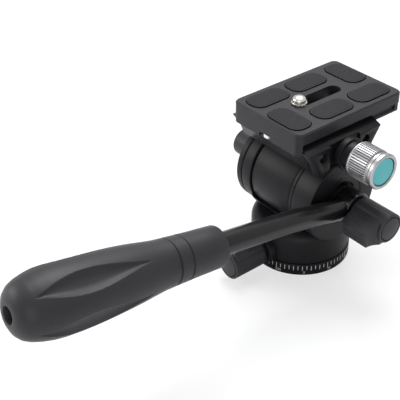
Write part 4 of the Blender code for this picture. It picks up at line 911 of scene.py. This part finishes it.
# %% Camera screw
screw_y = plate_y - 13.7 * mm
thread_outside = 3.7 * mm
thread_high = 93.0 * mm
thread_pitch = 1.1 * mm
thread_turns = 6
thread_steps = in_mm([(0.0, 0.0), (0.0, 0.25), (0.5, 0.6), (0.5, 0.75)])
screw_profile = in_mm([
    (0.0, 97.3), (1.5, 97.3), (1.9, 97.1), (2.9, 96.7), (3.5, 96.0), (3.7, 95.4), (3.65, 95.0),
    (3.1, 94.8), (3.1, 94.5), (3.9, 94.37), (4.15, 94.1), (4.15, 93.5), (4.0, 93.3), (3.6, 93.3),
])
for turn in range(thread_turns):
    for depth, drop in thread_steps:
        screw_profile.append((thread_outside - depth, thread_high - turn * thread_pitch - drop))
screw_profile += in_mm([(3.65, 86.2), (3.65, 84.6), (7.9, 84.6), (7.9, 82.4), (7.5, 82.0),
                        (0.0, 82.0)])
add_piece("camera_screw_turned", spin_profile(screw_profile, laid("up", y=screw_y), small_turn),
          steel, "camera_screw_body", ["camera_screw"], 30.0)

# %% [markdown]
# ## The three lever knobs
#
# The pan lock, the tilt lock and the handle lock share one shape: a round hub with a cap,
# and one wing to turn it by. Seen from the side the wing is a slab with a hollow curve where
# it runs up to the hub's rim. Seen from its end it is a drop, whose two flat faces touch the
# hub's circle. Those faces carry fine ribs for the thumb.

# %% Lever knob pieces
hub_edge = 0.9 * mm
cap_edge = 0.5 * mm
hub_profile = soften(in_mm([
    (3.2, 0.0), (7.2, 0.0), (8.0, 1.9), (8.0, 21.4), (6.7, 21.4), (6.6, 21.1), (6.6, 20.2),
    (0.0, 20.2), (0.0, 12.0), (3.2, 12.0),
]), hub_edge, edge_steps)
cap_disc_profile = soften(in_mm([(0.0, 20.3), (6.3, 20.3), (6.3, 21.55), (0.0, 22.0)]),
                          cap_edge, edge_steps)
wing_half = 4.65 * mm
wing_tip = 14.6 * mm
wing_low = 1.8 * mm
wing_root = 2.0 * mm
hollow_x = 13.8 * mm
hollow_z = 17.5 * mm
hollow_run = 6.3 * mm
hollow_rise = 2.6 * mm
hollow_bend = 2.2
hollow_steps = 8


def wing_outline():
    """The wing seen from the side, with its hollow curve as the last part."""
    points = [(wing_root, wing_low), (wing_tip - mm, wing_low), (wing_tip, wing_low + mm),
              (wing_tip, 16.6 * mm), (hollow_x, hollow_z)]
    for step in range(1, hollow_steps + 1):
        share = step / hollow_steps
        points.append((hollow_x - hollow_run * share,
                       hollow_z + hollow_rise * share ** hollow_bend))
    return points + [(wing_root, hollow_z + hollow_rise)]


wing_circle = 7.8 * mm
wing_bottom = -1.0 * mm
wing_roof = 25.0 * mm
wing_edge = 0.5 * mm
wing_edge_angle = 40.0
tip_corner = 1.2 * mm
tip_corner_share = 1.03
tip_steps = 4
circle_steps = 24
tip_angle = math.atan2(wing_half, wing_tip)
touch_angle = tip_angle + math.acos(wing_circle / math.hypot(wing_tip, wing_half))
touch = (wing_circle * math.cos(touch_angle), wing_circle * math.sin(touch_angle))
wing_slant = math.atan2(touch[1] - wing_half, wing_tip - touch[0])


def wing_height(reach):
    """Half the wing's thickness at a distance from the axis: its faces touch the hub's circle."""
    return touch[1] - (reach - touch[0]) * math.tan(wing_slant)


def wing_section():
    """The wing across its axis: the hub's circle, two flat sides and a tip with round corners."""
    points = []
    for step in range(circle_steps + 1):
        angle = touch_angle + step / circle_steps * (2 * math.pi - 2 * touch_angle)
        points.append((wing_circle * math.cos(angle), wing_circle * math.sin(angle)))
    inset = wing_tip - tip_corner
    height = wing_height(inset) - tip_corner * tip_corner_share
    bend = quarter - wing_slant
    for side, start in ((-1, -bend), (1, 0.0)):
        for step in range(tip_steps + 1):
            angle = start + bend * step / tip_steps
            points.append((inset + tip_corner * math.cos(angle),
                           side * height + tip_corner * math.sin(angle)))
    return points


wing_rib_count = 6
wing_rib_start = 5.6 * mm
wing_rib_pitch = 1.25 * mm
wing_rib_sink = 0.05 * mm
wing_rib_z = 7.6 * mm
wing_rib_size = (0.55 * mm, 0.70 * mm, 8.4 * mm, 1.0)


def lever_knob(prefix, body, place, angle):
    """The hub, wing, ribs and cap of one lever knob, laid on its axis."""
    slots = [prefix + "_knob"]
    add_piece(prefix + "_hub", spin_profile(hub_profile, place), lever_plastic, body, slots)
    work = slab(wing_outline(), -wing_circle, wing_circle, rear_turn)
    work = carve(work, [(slab(wing_section(), wing_bottom, wing_roof), "INTERSECT")])
    bevel_sharp(work, wing_edge, 3, wing_edge_angle)
    for side in (-1, 1):
        for rib in range(wing_rib_count):
            reach = wing_rib_start + rib * wing_rib_pitch
            height = side * (wing_height(reach) - wing_rib_sink)
            spot = Matrix.Translation((reach, height, wing_rib_z))
            tilt = Matrix.Rotation(-side * wing_slant, 4, "Z")
            size = Matrix.Diagonal(wing_rib_size)
            bmesh.ops.create_cube(work, size=1.0, matrix=spot @ tilt @ size)
    bmesh.ops.recalc_face_normals(work, faces=work.faces)
    turned = place @ Matrix.Rotation(angle, 4, "Z")
    bmesh.ops.transform(work, matrix=turned, verts=work.verts)
    add_piece(prefix + "_wing", work, lever_plastic, body, slots, 30.0)
    add_piece(prefix + "_end", spin_profile(cap_disc_profile, place), lever_plastic, body,
              [prefix + "_cap"])


lever_knob("pan_lock", "pan_lock", laid("rear", y=-31.3 * mm, z=pan_lock_z), math.radians(105))
lever_knob("tilt_lock", "tilt_lock", laid("left", x=-28.0 * mm, z=tilt_z), math.radians(135))
lever_knob("handle_lock", "handle_lock", laid("right", x=41.6 * mm, z=tilt_z), math.radians(195))

# %% [markdown]
# ## The pan handle
#
# The handle's eye clamps on the right end of the tilt axle. The tube bends up out of it: its
# middle line is a smooth curve through a few stops, and a circle of points is carried along
# it. All of the bend is in one upright plane, so the circles never twist.

# %% Handle eye
handle_x = 35.6 * mm
eye_edge = 1.1 * mm
eye_edge_steps = 5
eye_profile = soften(in_mm([(2.9, 31.3), (8.6, 31.3), (8.6, 41.0), (2.9, 41.0)]),
                     eye_edge, eye_edge_steps, closed=True)
add_piece("handle_eye_turned", spin_profile(eye_profile, tilt_right, closed=True),
          gloss_black, "handle", ["handle_eye"])

# %% Handle tube
grip_start = Vector((handle_x, -88.8 * mm, 63.1 * mm))
grip_end = Vector((handle_x, -193.6 * mm, 80.2 * mm))
grip_way = (grip_end - grip_start).normalized()
grip_length = (grip_end - grip_start).length


def curve_through(stops, steps):
    """Points of a smooth curve that passes through every stop but the first and the last."""
    points = []
    for index in range(1, len(stops) - 2):
        before, start, end, after = stops[index - 1:index + 3]
        for step in range(steps):
            t = step / steps
            points.append(0.5 * (2 * start + (end - before) * t
                                 + (2 * before - 5 * start + 4 * end - after) * t ** 2
                                 + (3 * start - before - 3 * end + after) * t ** 3))
    return points + [stops[-2]]


def sweep(points, radius, sides):
    """Carries a circle along points that all lie in an upright plane."""
    work = bmesh.new()
    sideways = Vector((1.0, 0.0, 0.0))
    loops = []
    for index, point in enumerate(points):
        ahead = points[min(index + 1, len(points) - 1)]
        way = (ahead - points[max(index - 1, 0)]).normalized()
        lift = way.cross(sideways).normalized()
        loop = []
        for side in range(sides):
            angle = 2 * math.pi * side / sides
            spoke = math.cos(angle) * sideways + math.sin(angle) * lift
            loop.append(work.verts.new(point + radius * spoke))
        loops.append(loop)
    skin(work, loops)
    return work


tube_radius = 5.7 * mm
tube_sides = 64
tube_stops = in_mm([(0.0, 44.7), (-4.0, 46.4), (-10.6, 47.7), (-40.0, 54.7), (-70.0, 60.0)])
stops = [Vector((handle_x, y, z)) for y, z in tube_stops]
stops += [grip_start + grip_way * reach for reach in (0.0, 20.0 * mm, 40.0 * mm)]
add_piece("handle_tube_bent", sweep(curve_through(stops, 12), tube_radius, tube_sides),
          gloss_black, "handle", ["handle_tube"])

# %% [markdown]
# ## The grip
#
# The grip is a turned shape with five hollows cut into its belly. Each hollow is a leaf: it
# starts and ends in a point, and its bottom is a shallow curve. So the radius at any point is
# the turned profile's radius, less the depth of the leaf that the point lies in.

# %% Grip
grip_profile = [
    (0.000, 9.3), (0.004, 9.8), (0.012, 10.1), (0.100, 10.4), (0.160, 10.6), (0.195, 10.8),
    (0.198, 10.3), (0.204, 10.3), (0.207, 10.85), (0.235, 11.0), (0.262, 11.15), (0.265, 10.6),
    (0.271, 10.6), (0.274, 11.2), (0.320, 11.5), (0.380, 12.3), (0.440, 13.2), (0.500, 13.9),
    (0.560, 14.5), (0.620, 15.0), (0.680, 15.4), (0.740, 15.6), (0.800, 15.6), (0.850, 15.2),
    (0.900, 14.2), (0.935, 13.1), (0.962, 11.7), (0.982, 9.7), (0.994, 7.3), (1.000, 5.0),
    (0.999, 4.0), (0.990, 3.6), (0.940, 3.6),
]
flute_count = 5
flute_phase = math.radians(322.0)
flute_start = 0.39
flute_end = 0.93
flute_depth = 2.3 * mm
flute_half_angle = 0.34
flute_lean = 1.25
flute_fullness = 0.8
flute_flatness = 2.4
flute_margin = 0.02


def grip_radius(share, radius, angle):
    """The radius of the grip at a share of its length and an angle round it."""
    along = (share - flute_start) / (flute_end - flute_start)
    if not 0.0 < along < 1.0:
        return radius
    leaf = math.sin(math.pi * along ** flute_lean)
    spread = flute_half_angle * leaf
    step = 2 * math.pi / flute_count
    away = (angle - flute_phase + step / 2) % step - step / 2
    if abs(away) >= spread:
        return radius
    hollow = 1 - abs(away / spread) ** flute_flatness
    return radius - flute_depth * leaf ** flute_fullness * hollow


def fine_profile(points, spacing):
    """Adds points between the stops of the profile, only where the outside has flutes."""
    result = []
    for (share, radius), (next_share, next_radius) in zip(points, points[1:]):
        steps = 1
        if next_share > share and flute_start - flute_margin < share < flute_end:
            steps = max(1, int((next_share - share) / spacing))
        for step in range(steps):
            t = step / steps
            result.append((share + (next_share - share) * t, radius + (next_radius - radius) * t))
    return result + [points[-1]]


smooth_rounds = 3


def smooth_radii(points):
    """Rounds the kinks of the belly by a short running mean."""
    result = list(points)
    for _ in range(smooth_rounds):
        for index in range(1, len(result) - 1):
            share = result[index][0]
            if flute_start < share < flute_end and result[index + 1][0] > share:
                mean = (result[index - 1][1] + 2 * result[index][1] + result[index + 1][1]) / 4
                result[index] = (share, mean)
    return result


grip_turn = grip_way.to_track_quat("Z", "X").to_matrix().to_4x4()
grip_place = Matrix.Translation(grip_start) @ grip_turn
grip_spacing = 0.005
grip_hole = 3.5
grip_sides = 288
grip_work = bmesh.new()
loops = []
for share, radius in smooth_radii(fine_profile(grip_profile, grip_spacing)):
    loop = []
    for side in range(grip_sides):
        angle = 2 * math.pi * side / grip_sides
        reach = grip_radius(share, radius * mm, angle) if radius > grip_hole else radius * mm
        loop.append(grip_work.verts.new((reach * math.cos(angle), reach * math.sin(angle),
                                         share * grip_length)))
    loops.append(loop)
skin(grip_work, loops)
bmesh.ops.transform(grip_work, matrix=grip_place, verts=grip_work.verts)
add_piece("grip_fluted", grip_work, grip_rubber, "handle", ["handle_grip"], 24.0)

# %% [markdown]
# ## Floor and background
#
# The object stands on a plain pale floor that keeps its shadow. To the camera the floor is
# mixed with plain white, so that the shadow stays faint. The background is white to the camera,
# to reflections and through clear things: the light that falls on the object is set separately.

# %% World
sky_strength = 0.32
scene = bpy.context.scene
scene.view_settings.view_transform = "Standard"
world = bpy.data.worlds.new("studio")
scene.world = world
world.use_nodes = True
sky = world.node_tree
sky.nodes.clear()
paths = sky.nodes.new("ShaderNodeLightPath")
mirrored = sky.nodes.new("ShaderNodeMath")
mirrored.operation = "MAXIMUM"
seen = sky.nodes.new("ShaderNodeMath")
seen.operation = "MAXIMUM"
white = sky.nodes.new("ShaderNodeBackground")
white.inputs["Strength"].default_value = 1.0
soft = sky.nodes.new("ShaderNodeBackground")
soft.inputs["Color"].default_value = (0.95, 0.97, 1.0, 1.0)
soft.inputs["Strength"].default_value = sky_strength
choose = sky.nodes.new("ShaderNodeMixShader")
out = sky.nodes.new("ShaderNodeOutputWorld")
join(sky, [
    (paths, "Is Glossy Ray", mirrored, 0), (paths, "Is Transmission Ray", mirrored, 1),
    (paths, "Is Camera Ray", seen, 0), (mirrored, "Value", seen, 1),
    (seen, "Value", choose, "Fac"), (soft, "Background", choose, 1),
    (white, "Background", choose, 2), (choose, "Shader", out, "Surface"),
])
print("world ready")

# %% Floor
floor_half = 3.0
floor_white_share = 0.65
floor_mesh = bpy.data.meshes.new("floor")
floor_work = bmesh.new()
bmesh.ops.create_grid(floor_work, x_segments=1, y_segments=1, size=floor_half)
floor_work.to_mesh(floor_mesh)
floor_work.free()
floor = put("floor", floor_mesh)
floor_finish = bpy.data.materials.new("floor_white")
floor_finish.use_nodes = True
floor_nodes = floor_finish.node_tree.nodes
floor_shader = floor_nodes["Principled BSDF"]
floor_shader.inputs["Base Color"].default_value = (0.92, 0.92, 0.92, 1.0)
floor_shader.inputs["Roughness"].default_value = 0.9
floor_paths = floor_nodes.new("ShaderNodeLightPath")
floor_share = floor_nodes.new("ShaderNodeMath")
floor_share.operation = "MULTIPLY"
floor_share.inputs[1].default_value = floor_white_share
floor_white = floor_nodes.new("ShaderNodeEmission")
floor_white.inputs["Strength"].default_value = 1.0
floor_mix = floor_nodes.new("ShaderNodeMixShader")
join(floor_finish.node_tree, [
    (floor_paths, "Is Camera Ray", floor_share, 0), (floor_share, "Value", floor_mix, "Fac"),
    (floor_shader, "BSDF", floor_mix, 1), (floor_white, "Emission", floor_mix, 2),
    (floor_mix, "Shader", floor_nodes["Material Output"], "Surface"),
])
floor_mesh.materials.append(floor_finish)
print("floor ready")

# %% [markdown]
# ## Light
#
# Three large area lamps give the soft studio light: one above, one low on the side of the
# camera, and one from the left that draws the bright lines along the round parts.

# %% Lamps
def area_lamp(name, place, size, power):
    """A round lamp that points at the middle of the object."""
    lamp = bpy.data.lights.new(name, "AREA")
    lamp.shape = "DISK"
    lamp.size = size
    lamp.energy = power
    item = put(name, lamp)
    item.location = place
    item.rotation_euler = (middle - Vector(place)).to_track_quat("-Z", "Y").to_euler()


middle = Vector((0.0, -0.03, 0.05))
area_lamp("top_lamp", (-0.25, 0.25, 0.95), 0.7, 12.0)
area_lamp("side_lamp", (0.75, -0.75, 0.35), 0.7, 2.5)
area_lamp("left_lamp", (-0.65, -0.70, 0.45), 0.5, 4.5)
print("lamps:", len(bpy.data.lights))

# %% [markdown]
# ## Camera
#
# The camera stands behind and to the right of the head and looks down on it by about 34
# degrees. Its axes come from its turn about Z, its height angle and a small roll.

# %% Camera
camera_spot = (0.2916, -0.2936, 0.3139)
turn_angle = math.radians(52.60)
height_angle = math.radians(34.477)
roll = math.radians(-1.385)
right = Vector((math.cos(turn_angle), math.sin(turn_angle), 0.0))
back = Vector((math.sin(turn_angle) * math.cos(height_angle),
               -math.cos(turn_angle) * math.cos(height_angle), math.sin(height_angle)))
above = back.cross(right)
axis_x = math.cos(roll) * right + math.sin(roll) * above
axis_y = -math.sin(roll) * right + math.cos(roll) * above
view = Matrix((axis_x, axis_y, back)).transposed().to_4x4()
lens = bpy.data.cameras.new("camera")
lens.lens = 81.0
lens.sensor_width = 36.0
lens.clip_start = 0.01
camera = put("camera", lens)
camera.matrix_world = Matrix.Translation(camera_spot) @ view
scene.camera = camera
print("camera at", [round(value, 4) for value in camera.matrix_world.translation])
